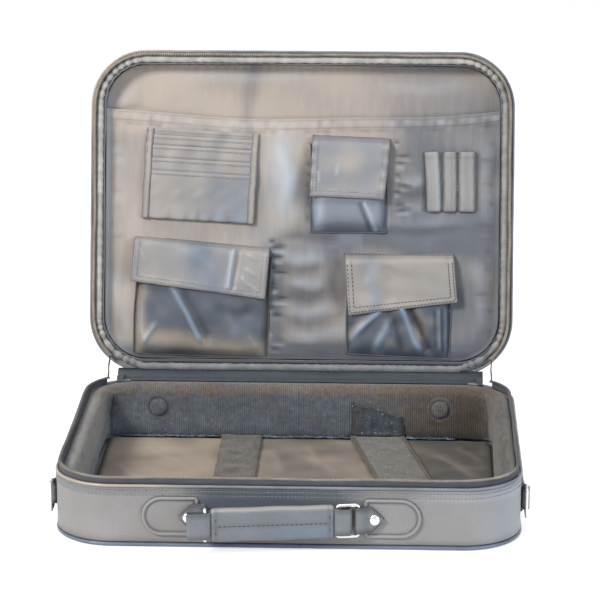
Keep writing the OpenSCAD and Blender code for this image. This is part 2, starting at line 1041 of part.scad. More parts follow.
module pen_loops() {
    pitch = pen_w + pen_space;
    hollow = pen_w - 2 * cloth_t;
    color([0.47, 0.47, 0.48])
        for (i = [-1 : 1])
            at_pocket(pen_x + i * pitch, pen_s, i < 0 ? first_pen_tilt : 0)
                difference() {
                    translate([-pen_w / 2, 0, 0])
                        cube([pen_w, pen_h, pen_gap + cloth_t]);
                    translate([-hollow / 2, cloth_t, -1])
                        cube([hollow, pen_h, pen_gap + 1]);
                }
}

module wide_pocket() {
    color([0.44, 0.46, 0.49])
        at_pocket(wide_x, wide_s, wide_tilt)
            pocket_bag(wide_w, wide_h);
}

module charger_pocket() {
    color([0.44, 0.46, 0.49])
        at_pocket(charger_x, charger_s, charger_tilt)
            pocket_bag(charger_w, charger_h);
}

module phone_pocket() {
    color([0.53, 0.55, 0.57])
        at_pocket(phone_x, phone_s, phone_tilt)
            pocket_bag(phone_w, phone_h);
}

flap_over = 4;

module wide_flap() {
    color([0.60, 0.60, 0.61])
        at_pocket(wide_x, wide_s, wide_tilt)
            pocket_flap(wide_w + flap_over, wide_flap_h, wide_h);
}

module charger_flap() {
    color([0.66, 0.64, 0.63])
        at_pocket(charger_x, charger_s, charger_tilt)
            pocket_flap(charger_w + flap_over, charger_flap_h, charger_h);
}

module phone_flap() {
    color([0.64, 0.63, 0.63])
        at_pocket(phone_x, phone_s, phone_tilt)
            pocket_flap(phone_w + flap_over, phone_flap_h, phone_h);
}

base_panel();
base_band();
base_edge_piping();
base_rim_piping();
base_zip_tape();
base_zip_coil();
base_wall_padding();
base_corner_padding();
base_floor_panel();
base_feet();
base_foot_studs();
handle_patch_left();
handle_patch_right();
handle_tab_left();
handle_tab_right();
handle_rivets();
ring_left();
ring_right();
handle();
side_patch_left();
side_patch_right();
side_rivets();
side_ring_left();
side_ring_right();
strap_left();
strap_right_root();
strap_right();
hinge_strip();
zip_stay_left();
zip_stay_right();
zip_sliders();
zip_pull_left();
zip_pull_right();
lid_panel();
lid_band();
lid_edge_piping();
lid_rim_piping();
lid_zip_tape();
lid_zip_coil();
lid_back_lining();
lid_wall_lining();
lid_corner_lining();
lid_feet();
document_pocket();
card_organiser();
pen_loops();
wide_pocket();
charger_pocket();
phone_pocket();
wide_flap();
charger_flap();
phone_flap();
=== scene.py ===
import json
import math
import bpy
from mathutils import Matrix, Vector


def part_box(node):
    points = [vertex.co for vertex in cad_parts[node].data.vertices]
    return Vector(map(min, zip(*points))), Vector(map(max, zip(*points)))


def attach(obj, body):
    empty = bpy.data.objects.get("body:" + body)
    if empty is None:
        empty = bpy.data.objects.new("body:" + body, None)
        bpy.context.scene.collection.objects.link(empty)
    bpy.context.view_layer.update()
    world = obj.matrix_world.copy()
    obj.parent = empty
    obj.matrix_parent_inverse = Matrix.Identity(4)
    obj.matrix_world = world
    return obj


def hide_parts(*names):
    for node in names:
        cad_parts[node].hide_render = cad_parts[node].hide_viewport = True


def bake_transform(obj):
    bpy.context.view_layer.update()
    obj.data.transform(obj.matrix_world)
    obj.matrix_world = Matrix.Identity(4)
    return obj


bl_info = {
    "name": "Laptop Briefcase",
    "version": (1, 0, 0),
    "blender": (4, 5, 0),
    "location": "3D View > Sidebar > Briefcase",
    "description": "Dresses an open laptop briefcase with its covers, zips, linings, pockets, straps and handle",
    "category": "Mesh",
}

import bpy
import numpy as np
from mathutils import Vector

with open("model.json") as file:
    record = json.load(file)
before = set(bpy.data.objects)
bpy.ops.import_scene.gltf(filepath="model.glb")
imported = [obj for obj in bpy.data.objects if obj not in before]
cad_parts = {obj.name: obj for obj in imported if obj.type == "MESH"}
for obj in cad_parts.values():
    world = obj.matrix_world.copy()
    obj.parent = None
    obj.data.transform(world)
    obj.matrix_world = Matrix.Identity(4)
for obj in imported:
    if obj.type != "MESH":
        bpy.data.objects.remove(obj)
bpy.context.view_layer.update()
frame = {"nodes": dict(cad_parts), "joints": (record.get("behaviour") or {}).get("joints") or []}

MM = 0.001
JOINTS = {joint["name"]: joint for joint in frame["joints"]}


def node_box(node):
    """Lowest and highest corner of a CAD node, in millimetres."""
    low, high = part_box(node)
    return np.array(low) / MM, np.array(high) / MM


def joint_point(name):
    return np.array(JOINTS[name]["pos_m"]) / MM


BAND = node_box("base_band")
HALF_W = (BAND[1][0] - BAND[0][0]) / 2
HALF_D = (BAND[1][1] - BAND[0][1]) / 2
BASE_H = BAND[1][2]
HINGE = joint_point("lid_hinge")
ZIP_RISE = HINGE[2] - BASE_H
OPEN = math.radians(JOINTS["lid_hinge"]["range_deg"][1])
PAD_FACE = node_box("base_foot_studs")[1][1] + 0.3
FLOOR_TOP = node_box("base_floor_panel")[1][2]

SEAM_DROPS = (5.5, 9.5)  # rows of stitches below each zip
EDGE_CORD, RIM_CORD, CORD_OUT = 2.0, 1.4, 0.8  # radii of the pipings and how far they stand out
LINER_IN = 12.6  # from the wall's face to the inside of the lid's wall lining
POCKET_FACE = 17.3  # height of the document pocket's cloth in the lid
HEM_ROWS = (1.9, 9.3)  # rows of stitches below the document pocket's hem
MOUTH, POCKET_DEEP = 9, 8.2  # a pocket's mouth below its flap's seam, and its depth


def tone(red, green, blue):
    """A colour given as 0 to 255 screen values, as linear light."""
    picked = (c / 255 for c in (red, green, blue))
    return tuple(c / 12.92 if c <= 0.04045 else ((c + 0.055) / 1.055) ** 2.4 for c in picked)


def length_prop(label, about, default, low=0.0, high=1.0):
    return bpy.props.FloatProperty(
        name=label, description=about, default=default * MM, min=low * MM, max=high * MM,
        unit="LENGTH", subtype="DISTANCE", precision=5,
    )


def colour_prop(label, about, *screen):
    return bpy.props.FloatVectorProperty(
        name=label, description=about, default=tone(*screen), size=3, min=0.0, max=1.0, subtype="COLOR",
    )


class BriefcaseSizes(bpy.types.PropertyGroup):
    """Sizes of the soft and sewn parts that a user may change"""

    corner_radius: length_prop("Corner radius", "Radius of the case's corners, seen from above", 53, 42, 64)
    lid_depth: length_prop("Lid depth", "Height of the lid's wall", 33, 32, 45)
    tooth_pitch: length_prop("Tooth pitch", "Distance from one zip tooth to the next", 1.8, 1.2, 3)
    stitch_pitch: length_prop("Stitch pitch", "Distance from one stitch to the next", 3.4, 2, 6)
    thread: length_prop("Thread radius", "Radius of the sewing thread", 0.34, 0.15, 0.6)
    roll_radius: length_prop("Binding roll", "Radius of the cloth roll inside the lid's zip", 2.25, 1.5, 3)
    hem_sag: length_prop("Hem sag", "How far the document pocket's hem hangs in the middle", 9, 0, 14)
    wall_wave: length_prop("Wall wave", "How far the leatherette walls sink between their seams", 0.8, 0, 2)


class BriefcaseColours(bpy.types.PropertyGroup):
    """Colours of the finishes"""

    leather: colour_prop("Leatherette", "Grained cover of both halves", 158, 156, 155)
    handle_leather: colour_prop("Handle leather", "Padded handle and its tabs", 124, 129, 135)
    edge_piping: colour_prop("Edge piping", "Piping round the outer edges", 108, 122, 142)
    rim_piping: colour_prop("Rim piping", "Piping beside the zip", 124, 128, 136)
    zip_teeth: colour_prop("Zip teeth", "Nylon coil of the zip", 158, 148, 136)
    zip_tape: colour_prop("Zip tape", "Woven tape of the zip", 74, 76, 82)
    liner: colour_prop("Liner", "Nylon lining of the lid", 194, 184, 174)
    # Painted shade: the cooler, darker tone of the lining's right side and of patches where less light falls.
    liner_shade: colour_prop("Liner, cool", "Cool side of the lid's lining", 108, 112, 119)
    satin: colour_prop("Satin", "Flaps of the pockets", 167, 162, 157)
    pocket: colour_prop("Pocket cloth", "Bodies of the pockets", 106, 114, 126)
    quilt: colour_prop("Wall knit", "Ribbed knit over the base's wall foam", 102, 109, 117)
    # Painted sheen: the brown the knit walls take on where they catch the light.
    quilt_brown: colour_prop("Wall knit, brown", "Brown sheen of the wall knit", 114, 102, 88)
    floor: colour_prop("Floor cloth", "Satin over the base's floor", 170, 156, 140)
    strap: colour_prop("Strap cloth", "Laptop straps", 95, 90, 82)
    thread: colour_prop("Thread", "Thread of the outer seams", 128, 136, 146)
    inner_thread: colour_prop("Inner thread", "Thread of the lining's seams", 150, 147, 144)
    metal: colour_prop("Metal", "Rings and rivets", 222, 221, 218)


def mm(name):
    """One of the sizes, in millimetres."""
    return getattr(bpy.context.scene.briefcase_sizes, name) / MM


# Places and paths


def on_base(x, y, z):
    """Points given in the base's own frame, in millimetres."""
    return np.stack(np.broadcast_arrays(x, y, z), -1).astype(float)


def on_lid(x, y, z):
    """Points given as if the lid lay like the base, its back at height 0, placed on the open lid."""
    out = ZIP_RISE + mm("lid_depth") - z
    up = HALF_D - y
    return on_base(
        x, HINGE[1] + out * math.sin(OPEN) - up * math.cos(OPEN),
        HINGE[2] + out * math.cos(OPEN) + up * math.sin(OPEN),
    )


def lid_face(x, up, z):
    """Points on the lid by their distance along it from the hinge wall."""
    return on_lid(x, HALF_D - np.asarray(up, float), z)


def run_of(line):
    """The running length along a line of points."""
    return np.concatenate([[0], np.cumsum(np.linalg.norm(np.diff(line, axis=0), axis=1))])


def unit(vectors):
    return vectors / np.maximum(np.linalg.norm(vectors, axis=-1, keepdims=True), 1e-9)


def circle(sides):
    """Angles evenly round a circle."""
    return math.tau * np.arange(sides) / sides


def wall_path(step=4.0):
    """Points on the case wall, their outward directions and the running length, clockwise from the rear middle."""
    r = mm("corner_radius")
    w, d = HALF_W, HALF_D
    points, outward = [], []

    def straight(a, b, n):
        count = max(1, round(math.dist(a, b) / step))
        for k in range(count):
            t = k / count
            points.append((a[0] + (b[0] - a[0]) * t, a[1] + (b[1] - a[1]) * t))
            outward.append(n)

    def corner(sx, sy, start):
        count = max(8, round(r * math.pi / 2 / step))
        for k in range(count):
            angle = math.radians(start - 90 * k / count)
            n = (math.cos(angle), math.sin(angle))
            points.append((sx * (w - r) + r * n[0], sy * (d - r) + r * n[1]))
            outward.append(n)

    straight((0, d), (w - r, d), (0, 1))
    corner(1, 1, 90)
    straight((w, d - r), (w, r - d), (1, 0))
    corner(1, -1, 0)
    straight((w - r, -d), (r - w, -d), (0, -1))
    corner(-1, -1, -90)
    straight((-w, r - d), (-w, d - r), (-1, 0))
    corner(-1, 1, 180)
    straight((r - w, d), (0, d), (0, 1))
    points = np.array(points)
    return points, np.array(outward), run_of(np.vstack([points, points[:1]]))


def wall_runs():
    """The wall path's running lengths at the middles of its rear right and rear left corners."""
    r = mm("corner_radius")
    corner = HALF_W - r + r * math.pi / 4
    return corner, wall_path()[2][-1] - corner


def even_path(pitch, keep=None):
    """The wall path at an even pitch, with its outward directions, and only where keep allows."""
    points, outward, run = wall_path(1.5)
    count = round(run[-1] / pitch)
    at = (np.arange(count) + 0.5) * run[-1] / count
    p, n = (
        np.stack([np.interp(at, run, np.append(part[:, k], part[0, k])) for k in (0, 1)], 1)
        for part in (points, outward)
    )
    n = unit(n)
    if keep is not None:
        chosen = keep(p)
        p, n, at = p[chosen], n[chosen], at[chosen]
    return p, n, at


def beside(place, p, n, out, z, ahead=0.0):
    """Points beside the wall path's points p: out of the wall, ahead along it and at a height."""
    return place(p[:, 0] + n[:, 0] * out + n[:, 1] * ahead, p[:, 1] + n[:, 1] * out - n[:, 0] * ahead, z)


def rounded_grid(half_w, half_d, r, step, square=2):
    """Rows of points over a rounded rectangle, from left to right. square above 2 makes its corners squarer."""
    angles = np.linspace(0, math.pi / 2, 12)
    rise = r * (1 - np.cos(angles).clip(0) ** (2 / square))
    pull = r * (1 - np.sin(angles) ** (2 / square))
    straight = np.linspace(r - half_d, half_d - r, max(2, round(2 * (half_d - r) / step)))
    ys = np.concatenate([rise[:-1] - half_d, straight, (half_d - rise[:-1])[::-1]])
    pulls = np.concatenate([pull[:-1], 0 * straight, pull[:-1][::-1]])
    across = np.linspace(-1, 1, round(2 * half_w / step) + 1)
    x = across[None, :] * (half_w - pulls)[:, None]
    return x, np.repeat(ys[:, None], len(across), 1)


# Shaping


def ease(t):
    """From 0 to 1 with a soft start and end."""
    t = np.clip(t, 0, 1)
    return t * t * (3 - 2 * t)


def bell(t):
    """1 at 0, falling off to both sides."""
    return np.exp(-(t ** 2))


def drift(u, v, size, seed):
    """Slow unevenness between about -1 and 1, the same on every run."""
    rng = np.random.default_rng(seed)
    total = 0.0
    for _ in range(7):
        angle, wave, phase = rng.uniform(0, math.tau), rng.uniform(0.6, 1.7) / size, rng.uniform(0, math.tau)
        total = total + np.sin(math.tau * wave * (u * math.cos(angle) + v * math.sin(angle)) + phase)
    return total / 3.2


def crease(u, v, line, width, high, taper=0.3, lean=0.0):
    """A fold along a line of points; high above 0 is a ridge and below 0 a valley. lean makes one side steeper."""
    best = np.full(np.shape(u), 1e9)
    run, side = np.zeros(np.shape(u)), np.zeros(np.shape(u))
    line = np.array(line, float)
    starts = run_of(line)
    for a, b, before, size in zip(line[:-1], line[1:], starts, np.diff(starts)):
        way = (b - a) / size
        t = np.clip((u - a[0]) * way[0] + (v - a[1]) * way[1], 0, size)
        du, dv = u - a[0] - t * way[0], v - a[1] - t * way[1]
        away = np.hypot(du, dv)
        near = away < best
        best = np.where(near, away, best)
        run = np.where(near, before + t, run)
        side = np.where(near, np.sign(way[0] * dv - way[1] * du), side)
    t = run / starts[-1]
    return high * bell(best / (width * (1 + lean * side))) * ease(t / taper) * ease((1 - t) / taper)


def creases(u, v, *folds):
    """The sum of several folds, each (line, width, high) with its taper and lean where they differ."""
    return sum(crease(u, v, *fold) for fold in folds)


def normals_of(points):
    """Unit normals of a grid of points."""
    return unit(np.cross(np.gradient(points, axis=0), np.gradient(points, axis=1)))


class Cloth:
    """A grid of points over two lengths in millimetres, so that stitches and seams can be laid on it."""

    def __init__(self, us, vs, points):
        self.us, self.vs, self.points = np.asarray(us, float), np.asarray(vs, float), points
        self.normals = normals_of(points)

    def pick(self, table, u, v):
        """Values of a table over the grid, at the lengths u and v."""
        i = np.interp(u, self.us, np.arange(len(self.us)))
        j = np.interp(v, self.vs, np.arange(len(self.vs)))
        i0 = np.clip(i.astype(int), 0, len(self.us) - 2)
        j0 = np.clip(j.astype(int), 0, len(self.vs) - 2)
        a, b = (i - i0)[:, None], (j - j0)[:, None]
        return (
            table[i0, j0] * (1 - a) * (1 - b) + table[i0 + 1, j0] * a * (1 - b)
            + table[i0, j0 + 1] * (1 - a) * b + table[i0 + 1, j0 + 1] * a * b
        )

    def line(self, corners, pitch):
        """Points, forward directions and normals along a line of (u, v) corners."""
        corners = np.array(corners, float)
        run = run_of(corners)
        count = max(2, round(run[-1] / pitch))
        at = (np.arange(count) + 0.5) * run[-1] / count
        u, v = np.interp(at, run, corners[:, 0]), np.interp(at, run, corners[:, 1])
        p = self.pick(self.points, u, v)
        n = unit(self.pick(self.normals, u, v))
        t = np.gradient(p, axis=0)
        return p, unit(t - (t * n).sum(1)[:, None] * n), n


def marks_of(painted_light_and_wear, shape):
    """Amounts of painted light and wear, and of the second tone, for a grid of points. The first below 0 is darker
    (painted shade, and dark wear) and above 0 lighter (painted highlight); the second goes from 0 to 1.
    """
    pair = painted_light_and_wear if isinstance(painted_light_and_wear, tuple) else (painted_light_and_wear, 0.0)
    return np.stack([np.broadcast_to(np.asarray(part, float), shape).reshape(-1) for part in pair], -1)


def cloth_lengths(points, u, v):
    """A grid's cloth lengths along its rows and columns, measured on the grid where they aren't given."""
    nu, nv = points.shape[:2]
    u = run_of(points[:, nv // 2]) if u is None else np.asarray(u, float)
    v = run_of(points[nu // 2]) if v is None else np.asarray(v, float)
    return u, v


def cells(rows, columns):
    """Row and column of the four corners of each cell of a grid."""
    i, j = np.meshgrid(np.arange(rows), np.arange(columns), indexing="ij")
    return (i, j), (i + 1, j), (i + 1, j + 1), (i, j + 1)


class Making:
    """Collects surfaces, in millimetres, that become one object."""

    def __init__(self):
        self.points, self.faces, self.cloth, self.marks, self.finish = [], [], [], [], []
        self.count = 0

    def _add(self, points, faces, cloth, marks, finish=0):
        points = points.reshape(-1, 3)
        self.points.append(points)
        self.faces.append(faces + self.count)
        self.cloth.append(cloth)
        self.marks.append(marks)
        self.finish.append(np.full(len(faces), finish))
        self.count += len(points)

    def grid(self, points, u=None, v=None, around_u=False, around_v=False, flip=False, painted_light_and_wear=0.0):
        """A grid of points. u and v are the cloth's lengths along its rows and columns."""
        nu, nv = points.shape[:2]
        u, v = cloth_lengths(points, u, v)
        if around_u and u.ndim == 1:
            u = np.append(u, u[-1] + np.linalg.norm(points[0, nv // 2] - points[-1, nv // 2]))
        if around_v and v.ndim == 1:
            v = np.append(v, v[-1] + np.linalg.norm(points[nu // 2, 0] - points[nu // 2, -1]))
        if u.ndim == 1:
            u, v = np.meshgrid(u, v, indexing="ij")
        corners = cells(nu - 1 + around_u, nv - 1 + around_v)
        faces = np.stack([i % nu * nv + j % nv for i, j in corners], -1).reshape(-1, 4)
        cloth = np.stack([np.stack([u[i, j], v[i, j]], -1) for i, j in corners], -2).reshape(-1, 4, 2)
        if flip:
            faces, cloth = faces[:, ::-1], cloth[:, ::-1]
        self._add(points, faces, cloth, marks_of(painted_light_and_wear, (nu, nv)))

    def sheet(self, points, thick, u, v, flip=False, painted_light_and_wear=0.0):
        """A grid of points with a back and a folded edge, closed all round, thick in millimetres."""
        nu, nv = points.shape[:2]
        count, side = nu * nv, -1 if flip else 1
        u, v = np.asarray(u, float), np.asarray(v, float)
        if u.ndim == 1:
            u, v = np.meshgrid(u, v, indexing="ij")
        n = (normals_of(points) * side).reshape(-1, 3)
        index = np.arange(count).reshape(nu, nv)
        face = np.stack([index[i, j] for i, j in cells(nu - 1, nv - 1)], -1).reshape(-1, 4)
        rim = np.concatenate([index[:-1, 0], index[-1, :-1], index[:0:-1, -1], index[0, :0:-1]])
        after = np.roll(rim, -1)
        front = points.reshape(-1, 3)
        back = front - n * thick
        out = unit(np.cross(front[after] - np.roll(front[rim], 1, 0), n[rim]) * side)
        bulge = (front[rim] + back[rim]) / 2 + out * thick * 0.3
        k = 2 * count + np.arange(len(rim))
        k2 = np.roll(k, -1)
        edge = np.concatenate([
            np.stack([after, rim, k, k2], -1), np.stack([k2, k, rim + count, after + count], -1),
        ])
        faces = np.concatenate([face[:, ::side], face[:, ::-side] + count, edge[:, ::side]])
        cloth = np.stack([u, v], -1).reshape(-1, 2)
        cloth = np.concatenate([cloth, cloth, cloth[rim] + 0.5 * thick])
        marks = marks_of(painted_light_and_wear, (nu, nv))
        marks = np.concatenate([marks, marks, marks[rim]])
        self._add(np.concatenate([front, back, bulge]), faces, cloth[faces], marks)

    def tube(self, line, radius, sides, up=(0, 0, 1), painted_light_and_wear=0.0):
        """A tube along a line of points. radius may change along it."""
        line = np.asarray(line, float)
        radius = np.broadcast_to(np.asarray(radius, float), len(line))
        way = unit(np.gradient(line, axis=0))
        side = unit(np.cross(way, np.broadcast_to(np.asarray(up, float), line.shape)))
        angle = circle(sides)[:, None]
        ring = side[:, None] * np.cos(angle) + np.cross(side, way)[:, None] * np.sin(angle)
        points = line[:, None] + ring * radius[:, None, None]
        points = np.concatenate([line[:1, None] + 0 * ring[:1], points, line[-1:, None] + 0 * ring[-1:]])
        self.grid(points, around_v=True, flip=True, painted_light_and_wear=painted_light_and_wear)

    def arcs(self, origin, ex, ey, line, radius, finish=0, painted_light_and_wear=0.0):
        """A small bent bar at each origin, its line drawn in the plane of ex and ey."""
        sides, flat = 6, 1.15
        line, radius = np.asarray(line, float), np.asarray(radius, float)[:, None]
        way = unit(np.gradient(line, axis=0))
        across = np.stack([-way[:, 1], way[:, 0]], 1)
        angle = circle(sides)
        local = line[:, None] + across[:, None] * (np.cos(angle) * radius)[..., None]
        third = np.sin(angle) * radius * flat
        spread = lambda axis, part: axis[:, None, None] * part[None, :, :, None]
        points = (
            origin[:, None, None] + spread(ex, local[..., 0]) + spread(ey, local[..., 1])
            + spread(np.cross(ex, ey), third)
        )
        n, k = len(origin), len(line)
        corners = cells(k - 1, sides)
        bar = np.stack([i * sides + j % sides for i, j in corners], -1).reshape(-1, 4)
        faces = (bar[None] + (np.arange(n) * k * sides)[:, None, None]).reshape(-1, 4)
        cloth = np.stack([np.stack([i / k, j / sides], -1) for i, j in corners], -2).reshape(-1, 4, 2)
        marks = marks_of(np.repeat(np.broadcast_to(painted_light_and_wear, n), k * sides), (n * k * sides,))
        self._add(points, faces, np.tile(cloth, (n, 1, 1)) * 2, marks, finish)

    def stitches(self, points, forward, normal, finish=0, size=0.72, lift=0.0):
        """Stitches laid along a seam."""
        thread = mm("thread")
        line = np.array([(-1.0, -0.9), (-0.72, 0.25), (0, 0.62), (0.72, 0.25), (1.0, -0.9)])
        line = line * [mm("stitch_pitch") * size / 2, thread * 1.1]
        radius = thread * np.array([0.35, 0.9, 1, 0.9, 0.35])
        self.arcs(points + normal * lift, forward, normal, line, radius, finish)

    def lathe(self, profile, centre, axis, sides, painted_light_and_wear=0.0):
        """A turned shape: profile is (radius, height) pairs along a level axis."""
        axis, profile = np.asarray(axis, float), np.asarray(profile, float)
        side = unit(np.cross(axis, (0.0, 0.0, 1.0)))
        angle = circle(sides)[:, None]
        radial = side * np.cos(angle) + np.cross(axis, side) * np.sin(angle)
        points = centre + radial[:, None] * profile[None, :, 0, None] + axis * profile[None, :, 1, None]
        self.grid(points, around_u=True, flip=True, painted_light_and_wear=painted_light_and_wear)

    def turn_over(self):
        """Turns every face over, for a mirrored shape."""
        self.faces = [f[:, ::-1] for f in self.faces]
        self.cloth = [c[:, ::-1] for c in self.cloth]

    def make(self, name, body, finishes, replaces=(), slot=None):
        """Makes the object and lets it ride on a body."""
        points = np.concatenate(self.points) * MM
        faces = np.concatenate(self.faces)
        mesh = bpy.data.meshes.new(name)
        mesh.from_pydata(points.tolist(), [], faces.tolist())
        layer = mesh.uv_layers.new(name="cloth")
        layer.data.foreach_set("uv", (np.concatenate(self.cloth) * MM).astype(np.float32).ravel())
        mesh.polygons.foreach_set("use_smooth", np.ones(len(faces), bool))
        mesh.polygons.foreach_set("material_index", np.concatenate(self.finish).astype(np.int32))
        marks = np.concatenate(self.marks).astype(np.float32)
        # The marks kept on the mesh: painted light and shade with some wear, and the second tone, which mostly stands
        # for painted light.
        for name_of, values in (("painted_light_and_wear", marks[:, 0]), ("second", marks[:, 1])):
            mesh.attributes.new(name_of, "FLOAT", "POINT").data.foreach_set("value", np.ascontiguousarray(values))
        for finish in finishes if isinstance(finishes, list) else [finishes]:
            mesh.materials.append(finish)
        mesh.update()
        piece = bpy.data.objects.new(name, mesh)
        bpy.context.scene.collection.objects.link(piece)
        if body:
            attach(piece, body)
        if replaces:
            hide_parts(*replaces)
        return piece


def ribbon(making, centre, normal, side, half, thick, rim=0.0):
    """A band of leather or webbing along a line of points: closed, with soft edges. rim darkens its edges: painted
    shade at the edges, and their wear.
    """
    soft = 0.5
    centre, normal = np.asarray(centre, float), np.asarray(normal, float)
    side = np.broadcast_to(np.asarray(side, float), centre.shape)
    half = np.broadcast_to(np.asarray(half, float), (len(centre),))
    upper = [(-1, 0), (-1, 0.7), (-0.94, 1), (-0.5, 1), (0, 1), (0.5, 1), (0.94, 1), (1, 0.7)]
    columns = upper + [(-across, -up) for across, up in upper]
    rows = []
    for across, up in columns:
        pull = soft * (1 - abs(up)) if abs(across) == 1 else soft * 0.3
        reach = np.maximum(half - (soft - pull if abs(across) > 0.9 else 0), 0.02)
        rows.append(centre + side * (across * reach)[:, None] + normal * (up * thick / 2))
    points = np.stack(rows, 1)
    points = np.concatenate([points[:1] * 0 + centre[:1, None], points, points[-1:] * 0 + centre[-1:, None]])
    painted_light_and_wear = np.array([rim if abs(across) > 0.9 else 0.0 for across, _ in columns])
    making.grid(points, around_v=True, flip=True, painted_light_and_wear=painted_light_and_wear)


# Finishes

GROUPS, FINISH = {}, {}


class Wiring:
    """Places nodes in a tree from left to right and joins them."""

    def __init__(self, tree):
        self.tree, self.x = tree, -700

    def node(self, kind, **settings):
        n = self.tree.nodes.new(kind)
        n.location = (self.x, 0)
        self.x += 60
        for key, value in settings.items():
            setattr(n, key, value)
        return n

    def feed(self, socket, value):
        """Sets a number, a colour or a vector on a socket, or joins an output to it."""
        if value is None:
            return
        if isinstance(value, bpy.types.NodeSocket):
            self.tree.links.new(value, socket)
        elif isinstance(value, (tuple, list)) and socket.type == "RGBA":
            socket.default_value = (*value[:3], 1)
        else:
            socket.default_value = value

    def math(self, operation, a, b=None, clamp=False):
        n = self.node("ShaderNodeMath", operation=operation, use_clamp=clamp)
        for slot, value in zip(n.inputs, (a, b)):
            self.feed(slot, value)
        return n.outputs[0]

    def plus(self, a, b, clamp=False):
        return self.math("ADD", a, b, clamp)

    def minus(self, a, b):
        return self.math("SUBTRACT", a, b)

    def times(self, a, b, clamp=False):
        return self.math("MULTIPLY", a, b, clamp)

    def over(self, a, b):
        return self.math("DIVIDE", a, b)

    def wave(self, turns):
        """A sine that crosses 0 once in each turn."""
        return self.math("SINE", self.times(turns, math.pi))

    def hump(self, turns):
        """A round ridge in each turn."""
        return self.math("ABSOLUTE", self.wave(turns))

    def vector(self, operation, a, b=None, c=None):
        n = self.node("ShaderNodeVectorMath", operation=operation)
        for slot, value in zip(n.inputs, (a, b, c)):
            self.feed(slot, value)
        return n.outputs[0]

    def scaled(self, place, size):
        """A place measured in steps of a size."""
        n = self.node("ShaderNodeVectorMath", operation="SCALE")
        self.feed(n.inputs[0], place)
        self.feed(n.inputs["Scale"], self.over(1.0, size))
        return n.outputs[0]

    def noise(self, place, scale, detail=2, roughness=0.5):
        n = self.node("ShaderNodeTexNoise")
        for name, value in (("Vector", place), ("Scale", scale), ("Detail", detail), ("Roughness", roughness)):
            self.feed(n.inputs[name], value)
        return n.outputs

    def blend(self, factor, a, b, mode="MIX"):
        n = self.node("ShaderNodeMix", data_type="RGBA", blend_type=mode)
        for slot, value in ((n.inputs[0], factor), (n.inputs[6], a), (n.inputs[7], b)):
            self.feed(slot, value)
        return n.outputs[2]

    def ramp(self, value, low, high):
        n = self.node("ShaderNodeMapRange", interpolation_type="SMOOTHSTEP")
        for name, given in (("Value", value), ("From Min", low), ("From Max", high)):
            self.feed(n.inputs[name], given)
        return n.outputs["Result"]

    def mark(self, name, factor):
        """A mark of the mesh times a factor, kept between 0 and 1."""
        return self.times(self.node("ShaderNodeAttribute", attribute_name=name).outputs["Fac"], factor, True)


def group(name, place, numbers, outputs):
    """A shader node group with a place and some numbers going in, and numbers coming out."""
    tree = bpy.data.node_groups.new(name, "ShaderNodeTree")
    socket = tree.interface.new_socket
    socket(name=place, in_out="INPUT", socket_type="NodeSocketVector")
    for label, default in numbers.items():
        socket(name=label, in_out="INPUT", socket_type="NodeSocketFloat").default_value = default
    for label in outputs:
        socket(name=label, in_out="OUTPUT", socket_type="NodeSocketFloat")
    enter, leave = tree.nodes.new("NodeGroupInput"), tree.nodes.new("NodeGroupOutput")
    enter.location, leave.location = (-900, 0), (900, 0)
    GROUPS[name] = tree
    return Wiring(tree), enter.outputs, leave.inputs


